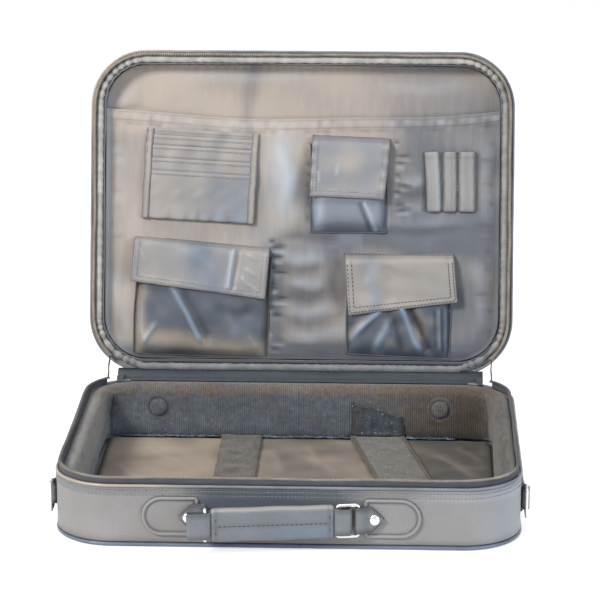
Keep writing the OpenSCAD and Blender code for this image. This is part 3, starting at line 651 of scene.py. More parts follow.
def build_groups():
    """Weave, knit ribs, leather grain, and tone drift with its specks and nap, each built once."""
    w, get, put = group("Plain weave", "Cloth", {"Pitch": 0.0009, "Slub": 0.25}, ("Height", "Thread"))
    sway = w.times(w.minus(w.noise(get["Cloth"], 260)["Fac"], 0.5), w.times(get["Slub"], 2.2))
    split = w.node("ShaderNodeSeparateXYZ")
    w.feed(split.inputs[0], get["Cloth"])
    waves = [w.wave(w.plus(w.over(split.outputs[axis], get["Pitch"]), sway)) for axis in (0, 1)]
    upper = w.times(*waves)
    warp = w.times(w.math("ABSOLUTE", waves[0]), w.ramp(upper, -0.15, 0.15))
    weft = w.times(w.math("ABSOLUTE", waves[1]), w.ramp(upper, 0.15, -0.15))
    height = w.plus(warp, weft)
    streak = w.noise(w.vector("MULTIPLY", get["Cloth"], (90, 900, 1)), 1, 3)["Fac"]
    w.feed(put["Height"], height)
    w.feed(put["Thread"], w.plus(w.times(height, 0.45), w.times(streak, 0.55)))

    w, get, put = group("Knit ribs", "Cloth", {"Pitch": 0.002, "Loop": 0.0016}, ("Height", "Groove"))
    sway = w.times(w.minus(w.noise(get["Cloth"], 120, 3)["Fac"], 0.5), 0.9)
    split = w.node("ShaderNodeSeparateXYZ")
    w.feed(split.inputs[0], get["Cloth"])
    turns = w.plus(w.over(split.outputs[0], get["Pitch"]), sway)
    rib = w.hump(turns)
    chevron = w.times(w.math("PINGPONG", turns, 0.5), 1.2)
    loops = w.hump(w.plus(w.over(split.outputs[1], get["Loop"]), chevron))
    w.feed(put["Height"], w.plus(w.times(rib, 0.72), w.times(w.times(loops, rib), 0.28)))
    w.feed(put["Groove"], w.ramp(rib, 0.55, 0.1))

    w, get, put = group("Pebble grain", "Place", {"Size": 0.0016, "Wrinkle": 0.4}, ("Height", "Pores"))
    place = w.scaled(get["Place"], get["Size"])
    pebbles = w.node("ShaderNodeTexVoronoi", feature="DISTANCE_TO_EDGE")
    w.feed(pebbles.inputs["Scale"], 1)
    w.feed(pebbles.inputs["Vector"], w.vector("MULTIPLY_ADD", w.noise(place, 0.8)["Color"], (0.7, 0.7, 0.7), place))
    fine = w.noise(place, 0.35, 5)["Fac"]
    dome = w.ramp(pebbles.outputs["Distance"], 0.0, 0.32)
    smooth = w.times(dome, w.minus(1.0, get["Wrinkle"]))
    w.feed(put["Height"], w.plus(smooth, w.times(fine, get["Wrinkle"])))
    w.feed(put["Pores"], w.ramp(pebbles.outputs["Distance"], 0.12, 0.0))

    w, get, put = group("Tone drift", "Place", {"Size": 0.05, "Contrast": 0.5}, ("Amount", "Speck", "Fuzz"))
    cloud = w.noise(w.scaled(get["Place"], get["Size"]), 1, 4, 0.55)["Fac"]
    w.feed(put["Amount"], w.plus(w.times(w.minus(cloud, 0.5), w.times(get["Contrast"], 4)), 0.5, True))
    w.feed(put["Speck"], w.ramp(w.noise(get["Place"], 420)["Fac"], 0.66, 0.74))
    w.feed(put["Fuzz"], w.ramp(w.noise(get["Place"], 260, 6, 0.75)["Fac"], 0.34, 0.66))


def shade(colour, factor, warm=0.0):
    """A lighter or darker tone of a colour; warm above 0 moves it to brown and below 0 to blue."""
    r, g, b = (c * factor for c in colour)
    return (min(r * (1 + warm), 1), min(g, 1), min(b * (1 - warm), 1))


# Each relief's group, the output that tells its low places and how strongly they are toned.
RELIEFS = {
    "weave": ("Plain weave", "Thread", 2.6), "ribs": ("Knit ribs", "Groove", 2.2),
    "grain": ("Pebble grain", "Pores", 2.2),
}


def finish(
    key, name, dark, light, relief, rough, drifting, sheen=0.0, specular=0.5, metallic=0.0, speck=0.0,
    speck_tone=None, valley=None, ridge=None, second=None, fuzz=0.0,
):
    """A material between two tones, kept under its key.

    relief is (kind, size, depth, strength of its tone) and drifting is (size, contrast). valley and ridge
    colour the marks below and above 0: valley is painted shade and dark wear, ridge a painted highlight.
    second colours the marks of the second tone, which mostly stand for painted light: sheen, and shade on one side.
    """
    made = bpy.data.materials.new(name)
    made.use_nodes = True
    tree = made.node_tree
    tree.nodes.clear()
    w = Wiring(tree)
    place = w.node("ShaderNodeTexCoord").outputs["Object"]
    shader = w.node("ShaderNodeBsdfPrincipled")
    put = shader.inputs
    w.feed(w.node("ShaderNodeOutputMaterial").inputs["Surface"], shader.outputs[0])
    w.feed(put["Metallic"], metallic)
    w.feed(put["Specular IOR Level"], specular)
    w.feed(put["Sheen Weight"], sheen)

    def use(kind, source, **values):
        n = w.node("ShaderNodeGroup")
        n.node_tree = GROUPS[kind]
        w.feed(n.inputs[0], source)
        for label, value in values.items():
            w.feed(n.inputs[label], value)
        return n.outputs

    slow = use("Tone drift", place, Size=drifting[0], Contrast=drifting[1])
    colour = w.blend(slow["Amount"], dark, light)
    # The second tone, blended in by its mark: mostly painted light, such as sheen and shade on one side of a part.
    if second:
        other = w.blend(slow["Amount"], shade(second, 0.84), shade(second, 1.14))
        colour = w.blend(w.mark("second", 1.0), colour, other)
    if relief:
        kind, size, depth, strength = relief
        name_of, lows, gain = RELIEFS[kind]
        sizes = {"weave": {"Pitch": size}, "ribs": {"Pitch": size, "Loop": size * 0.8}, "grain": {"Size": size}}
        source = place if kind == "grain" else w.node("ShaderNodeUVMap", uv_map="cloth").outputs[0]
        texture = use(name_of, source, **sizes[kind])
        low = w.minus(1.0, texture[lows]) if kind == "weave" else texture[lows]
        deep = w.blend(1.0, colour, (0.34, 0.34, 0.36), "MULTIPLY")
        colour = w.blend(w.times(low, strength * gain, True), colour, deep)
        bump = w.node("ShaderNodeBump")
        for label, value in (("Distance", depth), ("Strength", 1.0), ("Height", texture["Height"])):
            w.feed(bump.inputs[label], value)
        w.feed(put["Normal"], bump.outputs[0])
    if fuzz:
        nap = w.blend(slow["Fuzz"], (0.55, 0.56, 0.58), (1.5, 1.48, 1.44))
        colour = w.blend(fuzz, colour, w.blend(1.0, colour, nap, "MULTIPLY"))
    # Painted shade and dark wear blend towards valley, painted highlights towards ridge.
    if valley:
        colour = w.blend(w.mark("painted_light_and_wear", -1.0), colour, valley)
    if ridge:
        colour = w.blend(w.mark("painted_light_and_wear", 1.0), colour, ridge)
    if speck:
        colour = w.blend(w.times(slow["Speck"], speck), colour, speck_tone)
    w.feed(put["Base Color"], colour)
    spread = w.node("ShaderNodeMapRange")
    for label, value in (("Value", slow["Amount"]), ("To Min", rough[0]), ("To Max", rough[1])):
        w.feed(spread.inputs[label], value)
    w.feed(put["Roughness"], spread.outputs["Result"])
    FINISH[key] = made


def build_finishes():
    c = bpy.context.scene.briefcase_colours
    # Leatherette: valley is painted shade in the seams and at the foot, ridge a cool painted highlight on the front's
    # right, second a dark painted shadow behind the handle.
    finish(
        "leather", "Grained leatherette", shade(c.leather, 0.8, 0.02), shade(c.leather, 1.12),
        ("grain", 0.0015, 0.00022, 0.1), (0.38, 0.56), (0.06, 0.5),
        valley=shade(c.leather, 0.12, -0.1), ridge=tone(188, 194, 202), second=tone(72, 86, 98),
    )
    # Handle: valley is painted shade, ridge a painted highlight along the grip's top, second a cool painted sheen on
    # its lower half.
    finish(
        "handle", "Handle leather", shade(c.handle_leather, 0.78, -0.03), shade(c.handle_leather, 1.12, 0.03),
        ("grain", 0.0013, 0.0002, 0.12), (0.34, 0.5), (0.03, 0.4),
        valley=shade(c.handle_leather, 0.1), ridge=tone(186, 178, 168), second=tone(116, 130, 146),
    )
    finish(
        "edge", "Edge piping vinyl", shade(c.edge_piping, 0.7), shade(c.edge_piping, 1.2),
        ("grain", 0.0011, 0.00008, 0.05), (0.24, 0.38), (0.03, 0.5), specular=0.6, second=tone(52, 56, 64),
    )
    # Rim piping: second is a warm painted light on its front left.
    finish(
        "rim", "Rim piping vinyl", shade(c.rim_piping, 0.7), shade(c.rim_piping, 1.25),
        ("grain", 0.0011, 0.00008, 0.05), (0.26, 0.4), (0.03, 0.5), specular=0.6, second=tone(182, 168, 156),
    )
    finish(
        "teeth", "Zip coil nylon", shade(c.zip_teeth, 0.7, 0.04), shade(c.zip_teeth, 1.12),
        None, (0.3, 0.42), (0.012, 0.7),
    )
    # The base's copy of the zip coil, cooler than the lid's for the cooler light on it; valley is painted shade on
    # its sides.
    finish(
        "base teeth", "Base zip coil nylon", shade(c.zip_teeth, 0.74, -0.04), shade(c.zip_teeth, 1.1, -0.04),
        None, (0.3, 0.42), (0.012, 0.7), valley=tone(40, 44, 54),
    )
    # The base's zip tape is a lighter copy of the lid's: painted light on the base's zip.
    for key, name, low, high, strength in (
        ("tape", "Zip tape", 0.7, 1.25, 0.3), ("base tape", "Base zip tape", 1.2, 1.85, 0.2),
    ):
        finish(
            key, name, shade(c.zip_tape, low), shade(c.zip_tape, high),
            ("weave", 0.0012, 0.00025, strength), (0.75, 0.9), (0.01, 0.5), sheen=0.2, specular=0.25,
        )
    # Binding roll: valley is painted shade in its tucks, second painted shade along the lid's top and right.
    finish(
        "roll", "Binding cloth", tone(168, 168, 164), tone(214, 208, 198),
        ("weave", 0.0011, 0.00016, 0.12), (0.4, 0.55), (0.014, 0.8), sheen=0.15,
        valley=tone(46, 46, 50), ridge=tone(222, 220, 214), second=tone(112, 116, 122),
    )
    # Lining: valley and ridge are painted shade and painted highlights on its folds, pleats and margins; second, its
    # cool tone, is painted shade.
    finish(
        "liner", "Lid lining nylon", shade(c.liner, 0.78, 0.02), shade(c.liner, 1.1, 0.03),
        ("weave", 0.0013, 0.00014, 0.13), (0.4, 0.58), (0.09, 0.35), sheen=0.12, specular=0.4,
        valley=tone(50, 53, 60), ridge=tone(196, 206, 218), second=c.liner_shade,
    )
    # Flap satin: valley and ridge are painted shade and painted highlights, second a cool painted sheen.
    finish(
        "satin", "Flap satin", shade(c.satin, 0.76, -0.02), shade(c.satin, 1.14, 0.04),
        ("weave", 0.0009, 0.00006, 0.09), (0.26, 0.4), (0.06, 0.35), sheen=0.1, specular=0.6,
        valley=tone(52, 50, 50), ridge=tone(176, 198, 218), second=tone(120, 130, 144),
    )
    # Pocket satin: valley and ridge are painted shade and painted highlights, second a warm painted sheen.
    finish(
        "pocket", "Pocket satin", shade(c.pocket, 0.5, -0.03), shade(c.pocket, 1.0),
        ("weave", 0.0009, 0.00007, 0.08), (0.24, 0.38), (0.05, 0.45), specular=0.3,
        valley=tone(36, 38, 44), ridge=tone(146, 166, 188), second=tone(164, 154, 142),
    )
    # The phone pocket's lighter copy of the pocket satin: painted light. Its second is painted shade along its foot
    # and right edge.
    finish(
        "pocket light", "Phone pocket satin", shade(c.pocket, 1.2), shade(c.pocket, 1.85, 0.04),
        ("weave", 0.0009, 0.00007, 0.08), (0.26, 0.4), (0.05, 0.4), sheen=0.1, specular=0.6,
        valley=tone(40, 42, 48), ridge=tone(176, 194, 212), second=tone(72, 80, 92),
    )
    # Wall knit: valley and ridge are painted shade and painted light, second a brown painted sheen.
    finish(
        "quilt", "Ribbed wall knit", shade(c.quilt, 0.62, -0.02), shade(c.quilt, 1.3),
        ("ribs", 0.0021, 0.0006, 0.28), (0.7, 0.9), (0.04, 0.6), sheen=0.35, specular=0.2,
        speck=0.3, speck_tone=tone(168, 182, 198), fuzz=0.5,
        valley=tone(26, 30, 36), ridge=tone(150, 146, 140), second=c.quilt_brown,
    )
    # Floor satin: valley is painted shade at its edges, ridge painted highlights on its wrinkles, second painted
    # shade over its middle and right.
    finish(
        "floor", "Floor satin", shade(c.floor, 0.74, 0.02), shade(c.floor, 1.16, 0.02),
        ("weave", 0.0013, 0.00012, 0.13), (0.32, 0.48), (0.06, 0.7), sheen=0.1,
        valley=tone(62, 58, 52), ridge=tone(186, 172, 154), second=tone(86, 84, 80),
    )
    finish(
        "loop", "Strap loop cloth", shade(c.strap, 0.6, 0.02), shade(c.strap, 1.35, 0.04),
        ("ribs", 0.0017, 0.0006, 0.4), (0.85, 1.0), (0.012, 0.8), sheen=0.35, specular=0.15,
        speck=0.5, speck_tone=tone(150, 144, 132), fuzz=0.7,
        valley=tone(40, 42, 44), ridge=shade(c.strap, 1.6), second=tone(84, 82, 74),
    )
    # Strap felt: second is painted shade on the strap's root, where it stands up the back wall.
    finish(
        "felt", "Strap felt", shade(c.strap, 0.8, 0.01), shade(c.strap, 1.3, -0.03),
        ("grain", 0.0012, 0.0003, 0.2), (0.9, 1.0), (0.008, 0.9), sheen=0.4, specular=0.1,
        speck=0.9, speck_tone=tone(190, 192, 196), fuzz=0.6,
        valley=tone(44, 44, 44), ridge=shade(c.strap, 1.5), second=tone(74, 84, 96),
    )
    finish(
        "binding", "Brown binding", tone(70, 62, 54), tone(112, 100, 88),
        ("weave", 0.001, 0.00015, 0.2), (0.55, 0.7), (0.02, 0.5), sheen=0.15,
    )
    for key, name, colour in (
        ("thread", "Sewing thread", c.thread), ("inner thread", "Lining thread", c.inner_thread),
        ("dark thread", "Dark thread", tone(66, 66, 70)), ("fibre", "Loose fibres", tone(150, 172, 192)),
    ):
        finish(key, name, shade(colour, 0.7), shade(colour, 1.2), None, (0.5, 0.7), (0.006, 0.9), sheen=0.2)
    # Hinge band: valley is painted shade where it meets the two halves.
    finish(
        "hinge", "Hinge band", tone(24, 35, 43), tone(46, 58, 68),
        ("grain", 0.0012, 0.0002, 0.12), (0.4, 0.55), (0.03, 0.7),
        valley=tone(24, 28, 32), ridge=tone(128, 136, 146),
    )
    finish(
        "metal", "Nickel plate", shade(c.metal, 0.86), shade(c.metal, 1.1),
        None, (0.14, 0.26), (0.008, 0.5), metallic=1.0,
    )
    finish(
        "rubber", "Foot rubber", tone(34, 34, 36), tone(54, 54, 56),
        ("grain", 0.0008, 0.00008, 0.1), (0.6, 0.8), (0.01, 0.4),
    )
    finish(
        "slider", "Dark zinc", tone(104, 108, 114), tone(140, 144, 150),
        ("grain", 0.0006, 0.00003, 0.05), (0.3, 0.45), (0.006, 0.5), metallic=0.6,
    )


def dress(node, key):
    """Gives a CAD node that keeps its own shape one of the finishes."""
    mesh = frame["nodes"][node].data
    mesh.materials.clear()
    mesh.materials.append(FINISH[key])
    mesh.polygons.foreach_set("material_index", np.zeros(len(mesh.polygons), np.int32))


# Both halves' covers, pipings and zips


def rolling(run, seed, size=60):
    """Slow unevenness along the closed wall path."""
    turn = run / wall_path()[2][-1] * math.tau
    rng = np.random.default_rng(seed)
    total = 0
    for _ in range(5):
        k = rng.integers(3, max(4, round(1400 / size)))
        total = total + math.sqrt(1 / 5) * np.sin(k * turn + rng.uniform(0, math.tau))
    return total


def corner_amount(run):
    """1 on the case's corners and 0 on its straight walls."""
    _, outward, length = wall_path()
    turn = np.abs(outward[:, 0] * outward[:, 1]) * 2
    return np.interp(run, length[:-1], turn) ** 0.5


def sweep(making, place, section, shift, step=4.0, keep=None, closed=False, flip=False, painted_light_and_wear=0.0):
    """Sweeps a section of (out, up) points round the case wall. shift gives (outs, ups) to add."""
    points, outward, run = wall_path(step)
    run = run[:-1]
    if keep is not None:
        chosen = keep(points)
        points, outward, run = points[chosen], outward[chosen], run[chosen]
    section = np.asarray(section, float)
    out = np.broadcast_to(section[:, 0], (len(points), len(section)))
    up = np.broadcast_to(section[:, 1], out.shape)
    add_out, add_up = shift(run[:, None], out, up)
    out, up = out + add_out, up + add_up
    x = points[:, :1] + outward[:, :1] * out
    y = points[:, 1:] + outward[:, 1:] * out
    if callable(painted_light_and_wear):
        painted_light_and_wear = painted_light_and_wear(x, y, up)
    making.grid(
        place(x, y, up), u=run, v=run_of(section), around_u=keep is None, around_v=closed, flip=flip, painted_light_and_wear=painted_light_and_wear,
    )


def circle_section(out, up, radius, sides, flat=1.0):
    angle = -circle(sides)
    return np.stack([out + radius * np.cos(angle), up + radius * flat * np.sin(angle)], 1)


def zip_keep(points):
    """The part of the wall path that the zip runs along: all but the rear between its ends."""
    end = node_box("zip_stay_right")[0][0] + 1.2
    return ~((points[:, 1] > 0) & (np.abs(points[:, 0]) < end))


def front_shade(x, y, up):
    """The base's leatherette, its painted light and shade: painted shade in the seams and at the foot, a painted
    highlight to the right, and a cool painted shadow behind the handle.
    """
    below = BASE_H - up
    # Painted shade in the two stitch grooves.
    groove = 0.35 * bell((below - 7.4) / 0.9) + 0.45 * bell((below - 4.0) / 0.8)
    # Painted highlight to the right, and under the zip on the right front.
    lit = 0.4 * ease((x - 150) / 50) + 0.3 * ease((x - 90) / 60) * ease((15 - below) / 6)
    lit = lit * ease((100 - y) / 190)
    # Painted shadow behind the handle, and a painted dim band on the right front.
    handle_shadow = 0.85 * ease((x + 102) / 40) * ease((86 - x) / 50) * ease((up - 24) / 14)
    painted_dim = 0.14 * bell((x - 125) / 32)
    # Painted shade at the foot, and a little of the dark second tone at the left end.
    return lit - groove - 0.3 * ease((11 - up) / 5), (handle_shadow + painted_dim) * (y < 0) + 0.08 * ease((-80 - x) / 60)


def cover(place, height, half, crown, painted_light_and_wear):
    """The leatherette over one half: its wall between the pipings and the board at its back."""
    making, flip = Making(), half == "lid"
    wave = mm("wall_wave")
    under_zip = [(-3.9, 3.6), (-3.4, 3.05), (-1.2, 2.95), (-0.25, 3.0), (0.12, 3.5), (0.14, 4.4), (-0.1, 5.2),
                 (-0.22, 5.5), (-0.05, 5.9), (0.0, 7.2), (-0.02, 8.8), (-0.2, 9.5), (-0.03, 10.1)]
    wall = [(out, height - below) for out, below in under_zip]
    wall += [(0.0, z) for z in np.arange(height - 12, 8, -3.0)]
    wall += [(0.0, 6.4), (-0.05, 5.4), (-0.5, 4.55), (-2.4, 4.3), (-3.6, 4.1), (-3.4, 1.5), (-3.8, 0.4), (-5.0, 0.05)]

    def shift(run, out, up):
        inside = ease((up - 5) / 8) * ease((height - 10 - up) / 7)
        sink = 0.5 + 0.5 * np.sin(run / 19 + 2 * rolling(run, 5) + up * 0.05 * np.sin(run / 47))
        seam = ease((up - height + 13) / 3) * ease((height - 3.4 - up) / 0.6)
        seam = seam * (0.5 + 0.5 * np.sin(run / 1.9 + 3 * rolling(run, 8, 30)))
        return -wave * (inside * (0.35 + 0.65 * sink) + 0.18 * seam), 0 * up

    sweep(making, place, wall, shift, step=3.0, flip=flip, painted_light_and_wear=painted_light_and_wear)
    board_in = 4.9
    x, y = rounded_grid(HALF_W - board_in, HALF_D - board_in, mm("corner_radius") - board_in, step=6)
    edge = np.minimum(1, (1 - np.abs(x) / HALF_W) * 9) * np.minimum(1, (1 - np.abs(y) / HALF_D) * 9)
    soft = 0.5 + 0.5 * drift(x, y, 120, 4)
    making.grid(place(x, y, 0.05 - crown * ease(edge) * (0.45 + 0.4 * soft)), flip=flip)
    making.make(f"{half}_cover", half, FINISH["leather"], (f"{half}_panel", f"{half}_band"))


def piping(place, height, half):
    """The edge piping, plump and a little uneven, and the slimmer one beside the zip."""
    uneven = lambda run, out, up: (0.08 * rolling(run, 11, 25) + 0 * out, 0.05 * rolling(run, 12, 20) + 0 * up)
    foot = lambda x, y, up: (0.0, 0.55 * ease((up - 3.3) / 0.5))
    # Painted warm light on the rim piping's front left.
    front_left = lambda x, y, up: (0.0, 0.85 * ease((-70 - x) / 60) * ease((-60 - y) / 40))
    for part, radius, level, sides, painted_light_and_wear in (
        ("edge", EDGE_CORD, EDGE_CORD + 0.1, 12, foot), ("rim", RIM_CORD, height - RIM_CORD, 10, front_left),
    ):
        cord = Making()
        section = circle_section(CORD_OUT - radius, level, radius, sides)
        sweep(cord, place, section, uneven, closed=True, flip=half != "lid", painted_light_and_wear=painted_light_and_wear)
        cord.make(f"{half}_{part}_cord", half, FINISH[part], (f"{half}_{part}_piping",))


def shell(place, height, half, crown, painted_light_and_wear):
    """One half's cover with its pipings and the two rows of stitches below its zip."""
    cover(place, height, half, crown, painted_light_and_wear)
    piping(place, height, half)
    seams = Making()
    p, n, run = even_path(mm("stitch_pitch"))
    for drop in SEAM_DROPS:
        z = height - drop + 0 * run
        a = beside(place, p, n, -0.1, z)
        seams.stitches(a, beside(place, p, n, -0.1, z, 1) - a, beside(place, p, n, 0.9, z) - a)
    seams.make(f"{half}_wall_stitches", half, FINISH["thread"], slot=f"{half}_band")


def zipper(place, height, half):
    """One half of the zip: its woven tape and the nylon coil's teeth."""
    wander = lambda run: (0.28 * rolling(run, 21, 45), 0.3 * rolling(run, 22, 70) - 0.3)
    prefix = "" if half == "lid" else "base "
    top = height + ZIP_RISE
    section = [(-2.45, height - 1.2), (-2.4, height + 1.5), (-2.4, top - 3.2), (-2.6, top - 2.2),
               (-3.3, top - 2.0), (-3.6, top - 3.2), (-3.65, height + 1.5), (-3.6, height - 1.2)]

    def shift(run, out, up):
        free = ease((up - height) / 3)
        side, tall = wander(run)
        return free * side, free * tall

    tape = Making()
    sweep(tape, place, section, shift, keep=zip_keep, closed=True, flip=half == "lid")
    tape.make(f"{half}_zip_weave", half, FINISH[prefix + "tape"], (f"{half}_zip_tape",))
    coil = Making()
    p, n, run = even_path(mm("tooth_pitch"), zip_keep)
    side, tall = wander(run)
    out, z = side - 3.6, top - 1.25 + tall
    at = beside(place, p, n, out, z)
    ex, ey = beside(place, p, n, out + 1, z) - at, beside(place, p, n, out, z + 1) - at
    tooth = [(-1.15, -0.85), (-1.2, 0.1), (-0.75, 0.6), (0.75, 0.6), (1.2, 0.1), (1.15, -0.85)]
    # Painted shade: the base's coil is darker along its sides than at its front.
    dim = 0.0 if half == "lid" else -0.8
    dim = dim * ease((np.abs(p[:, 0]) - 150) / 30) * ease((p[:, 1] + HALF_D - 8) / 40)
    coil.arcs(at, ex, ey, tooth, [0.3, 0.55, 0.62, 0.62, 0.55, 0.3], painted_light_and_wear=dim)
    cord, painted_light_and_wear = beside(place, p, n, out, z - 0.25), np.pad(dim, 1, "edge")[:, None]
    coil.tube(cord, radius=0.8, sides=8, up=ey, painted_light_and_wear=painted_light_and_wear)
    coil.make(f"{half}_zip_teeth", half, FINISH[prefix + "teeth"], (f"{half}_zip_coil",))


def lid_roll():
    """The cloth roll inside the lid's zip, pinched at each stitch and tucked at the corners."""
    roll_in, level = 7.8, mm("lid_depth") + 0.3
    tucked = lambda run: np.abs(np.sin(run / 3.1 + 2 * rolling(run, 33, 60)))

    def shift(run, out, up):
        pinch = 0.16 * np.sin(run / 1.05) + 0.22 * rolling(run, 31, 30)
        scale = 1 - ((0.16 + 0.26 * corner_amount(run)) * tucked(run) + 0.08 * pinch)
        along = np.minimum(run, wall_path()[2][-1] - run)
        beside_hinge = 2.8 * ease((HALF_W - 38 - along) / 16)
        return (out + roll_in) * (scale - 1) + beside_hinge, (up - level) * (scale - 1) + 0.25 * pinch

    def painted_light_and_wear(x, y, up):
        run = wall_path(1.6)[2][:-1][:, None]
        # Painted shade in the roll's tucks at the corners, and the darker second tone along the lid's top and right
        # where the roll is shaded.
        shaded = 0.8 * ease((y - HALF_D + 34) / 24) + 0.55 * ease((x - HALF_W + 34) / 24)
        return -0.5 * corner_amount(run) * ease((tucked(run) - 0.86) / 0.14), np.clip(shaded, 0, 1)

    making, seam = Making(), Making()
    section = circle_section(-roll_in, level, mm("roll_radius") * 1.7, sides=16, flat=0.74)
    sweep(making, on_lid, section, shift, step=1.6, closed=True, painted_light_and_wear=painted_light_and_wear)
    making.make("lid_binding_roll", "lid", FINISH["roll"], slot="lid_zip_tape")
    p, n, run = even_path(mm("stitch_pitch"))
    seam_out, level = -4.8, mm("lid_depth") + 2.2 + 0 * run
    a = beside(on_lid, p, n, seam_out, level)
    up = unit(beside(on_lid, p, n, seam_out + 0.6, level + 0.9) - a)
    seam.stitches(a, beside(on_lid, p, n, seam_out, level, ahead=1) - a, up, size=0.6)
    seam.make("lid_roll_stitches", "lid", FINISH["inner thread"], slot="lid_zip_tape")


class BRIEFCASE_OT_base_cover(bpy.types.Operator):
    """Leatherette cover, pipings and seams of the base"""

    bl_idname = "briefcase.base_cover"
    bl_label = "Base cover"

    def execute(self, context):
        shell(on_base, BASE_H, "base", 0.0, front_shade)
        return {"FINISHED"}


class BRIEFCASE_OT_lid_cover(bpy.types.Operator):
    """Leatherette cover, pipings and feet of the lid"""

    bl_idname = "briefcase.lid_cover"
    bl_label = "Lid cover"

    def execute(self, context):
        shell(on_lid, mm("lid_depth"), "lid", 1.6, 0.0)
        dress("lid_feet", "rubber")
        return {"FINISHED"}


class BRIEFCASE_OT_zips(bpy.types.Operator):
    """Zip tapes, coil teeth and the cloth roll inside the lid's zip"""

    bl_idname = "briefcase.zips"
    bl_label = "Zips"

    def execute(self, context):
        zipper(on_base, BASE_H, "base")
        zipper(on_lid, mm("lid_depth"), "lid")
        lid_roll()
        for node in ("zip_sliders", "zip_pull_left", "zip_pull_right"):
            dress(node, "slider")
        return {"FINISHED"}


# Inside the base


class BRIEFCASE_OT_base_quilt(bpy.types.Operator):
    """Foam walls of the base under their ribbed knit, with the covered studs over the feet's fixings"""

    bl_idname = "briefcase.base_quilt"
    bl_label = "Base wall padding"

    def execute(self, context):
        top = BASE_H - 1.0
        face = PAD_FACE - HALF_D
        rear_right, rear_left = wall_runs()
        bend, round_top = np.linspace(0, math.pi / 2, 9), 9
        section = [(-4.15, 4.2), (-4.15, top - 2.2), (-4.5, top - 0.9), (-5.6, top - 0.2), (-8, top + 0.05)]
        section += [(face + round_top * (1 - math.sin(a)), top - round_top * (1 - math.cos(a))) for a in bend]
        section += [(face, z) for z in np.linspace(top - 11.5, 10, 12)]
        section += [(face, 8.0), (face + 0.5, 6.3), (face + 1.6, 5.0), (face + 3, 4.2)]

        def shift(run, out, up):
            inner = ease((-out - 8) / 5)
            crown = -0.9 * ((up - 27) / 24) ** 2
            soft = 0.55 * (rolling(run, 41, 90) * np.cos(up / 17) - 0.6)
            past = run - rear_left
            fold = -2.6 * bell((past + 0.12 * (up - 20)) / 3.2) - 0.9 * bell((past + 14) / 4.0)
            fold = (fold - 0.7 * bell((past - 15) / 5.0)) * ease((top - up) / 16)
            turn = (corner_amount(run) ** 2).clip(0, 1)
            square = (mm("corner_radius") + face) * ((1 - 0.75 * turn ** 2) ** (-1 / 6) - 1)
            square = square * (0.25 + 0.75 * ease((top - 2 - up) / 30))
            return inner * (square - np.minimum(0, soft + crown + 0.5 * fold)), 0 * up

        def painted_light_and_wear(x, y, up):
            inside = (np.abs(x) < HALF_W - 7) & (np.abs(y) < HALF_D - 7)
            sides = ease((128 - np.abs(y)) / 30) * inside
            run = wall_path(2.6)[2][:-1][:, None]
            split = bell((run - rear_left) / 2.0) + 0.6 * bell((run - rear_right) / 2.4)
            # Painted light and shade on the knit: darker low down, in the folds at the rear corners and to the right,
            # lighter high on the left wall; dark on its hidden outer side, with a random nap.
            dim = -0.42 * ease((16 - up) / 12) * inside - 0.8 * split * ease((top - 4 - up) / 8) - 0.95 * ~inside
            dim = dim + sides * np.where(x < 0, 0.55 * ease((up - 22) / 10) - 0.1, -0.3) - 0.32 * ease((x - 60) / 80)
            nap = np.random.default_rng(45).normal(0, 1, dim.shape)
            nap = sum(np.roll(nap, k, 0) for k in range(4)) / 4
            dim = dim + 0.3 * nap * inside * ease((140 - np.abs(y)) / 10)
            # brown is a painted sheen along the top of the back, on the right and high on the left wall, with random
            # patches.
            brown = 0.7 * ease((up - top + 13) / 7) * (y > HALF_D - 60) + 0.9 * ease((x - 30) / 120)
            brown = brown + 0.2025 * drift(x + y, up * 2.2, 44, 43) + 0.6 * (x < 0) * sides * ease((up - 24) / 8)
            return dim, np.clip(brown, 0, 1)

        making = Making()
        sweep(making, on_base, section, shift, step=2.6, closed=True, painted_light_and_wear=painted_light_and_wear)
        quilt = making.make("base_wall_quilt", "base", FINISH["quilt"], ("base_wall_padding", "base_corner_padding"))
        studs = Making()
        low, high = node_box("base_foot_studs")
        middle, reach = (low + high) / 2, (high - low) / 2
        profile = [(12.5, -0.35), (11.2, -0.1), (10.0, 0.2), (9.2, -0.2), (8.6, 0.3), (7.9, 1.6), (6.4, 2.4),
                   (4.2, 2.75), (2.0, 2.9), (0.02, 2.95)]
        # Painted shade in the crease round each stud, and a brown painted sheen, stronger on the right one.
        mark = np.array([0.0, -0.1, -0.25, -0.6, -0.5, -0.2, 0.0, 0.0, -0.05, -0.1])
        for side, brown in ((-1, 0.15), (1, 0.55)):
            centre = np.array([middle[0] + side * (reach[0] - reach[2]), PAD_FACE, middle[2]])
            studs.lathe(profile, centre, (0, -1, 0), sides=40, painted_light_and_wear=(mark, brown))
            studs.cloth[-1] = np.concatenate(studs.points)[studs.faces[-1]][..., [0, 2]]
        covered = studs.make("base_covered_studs", "base", FINISH["quilt"], ("base_foot_studs",))
        dress("base_feet", "rubber")
        return {"FINISHED"}


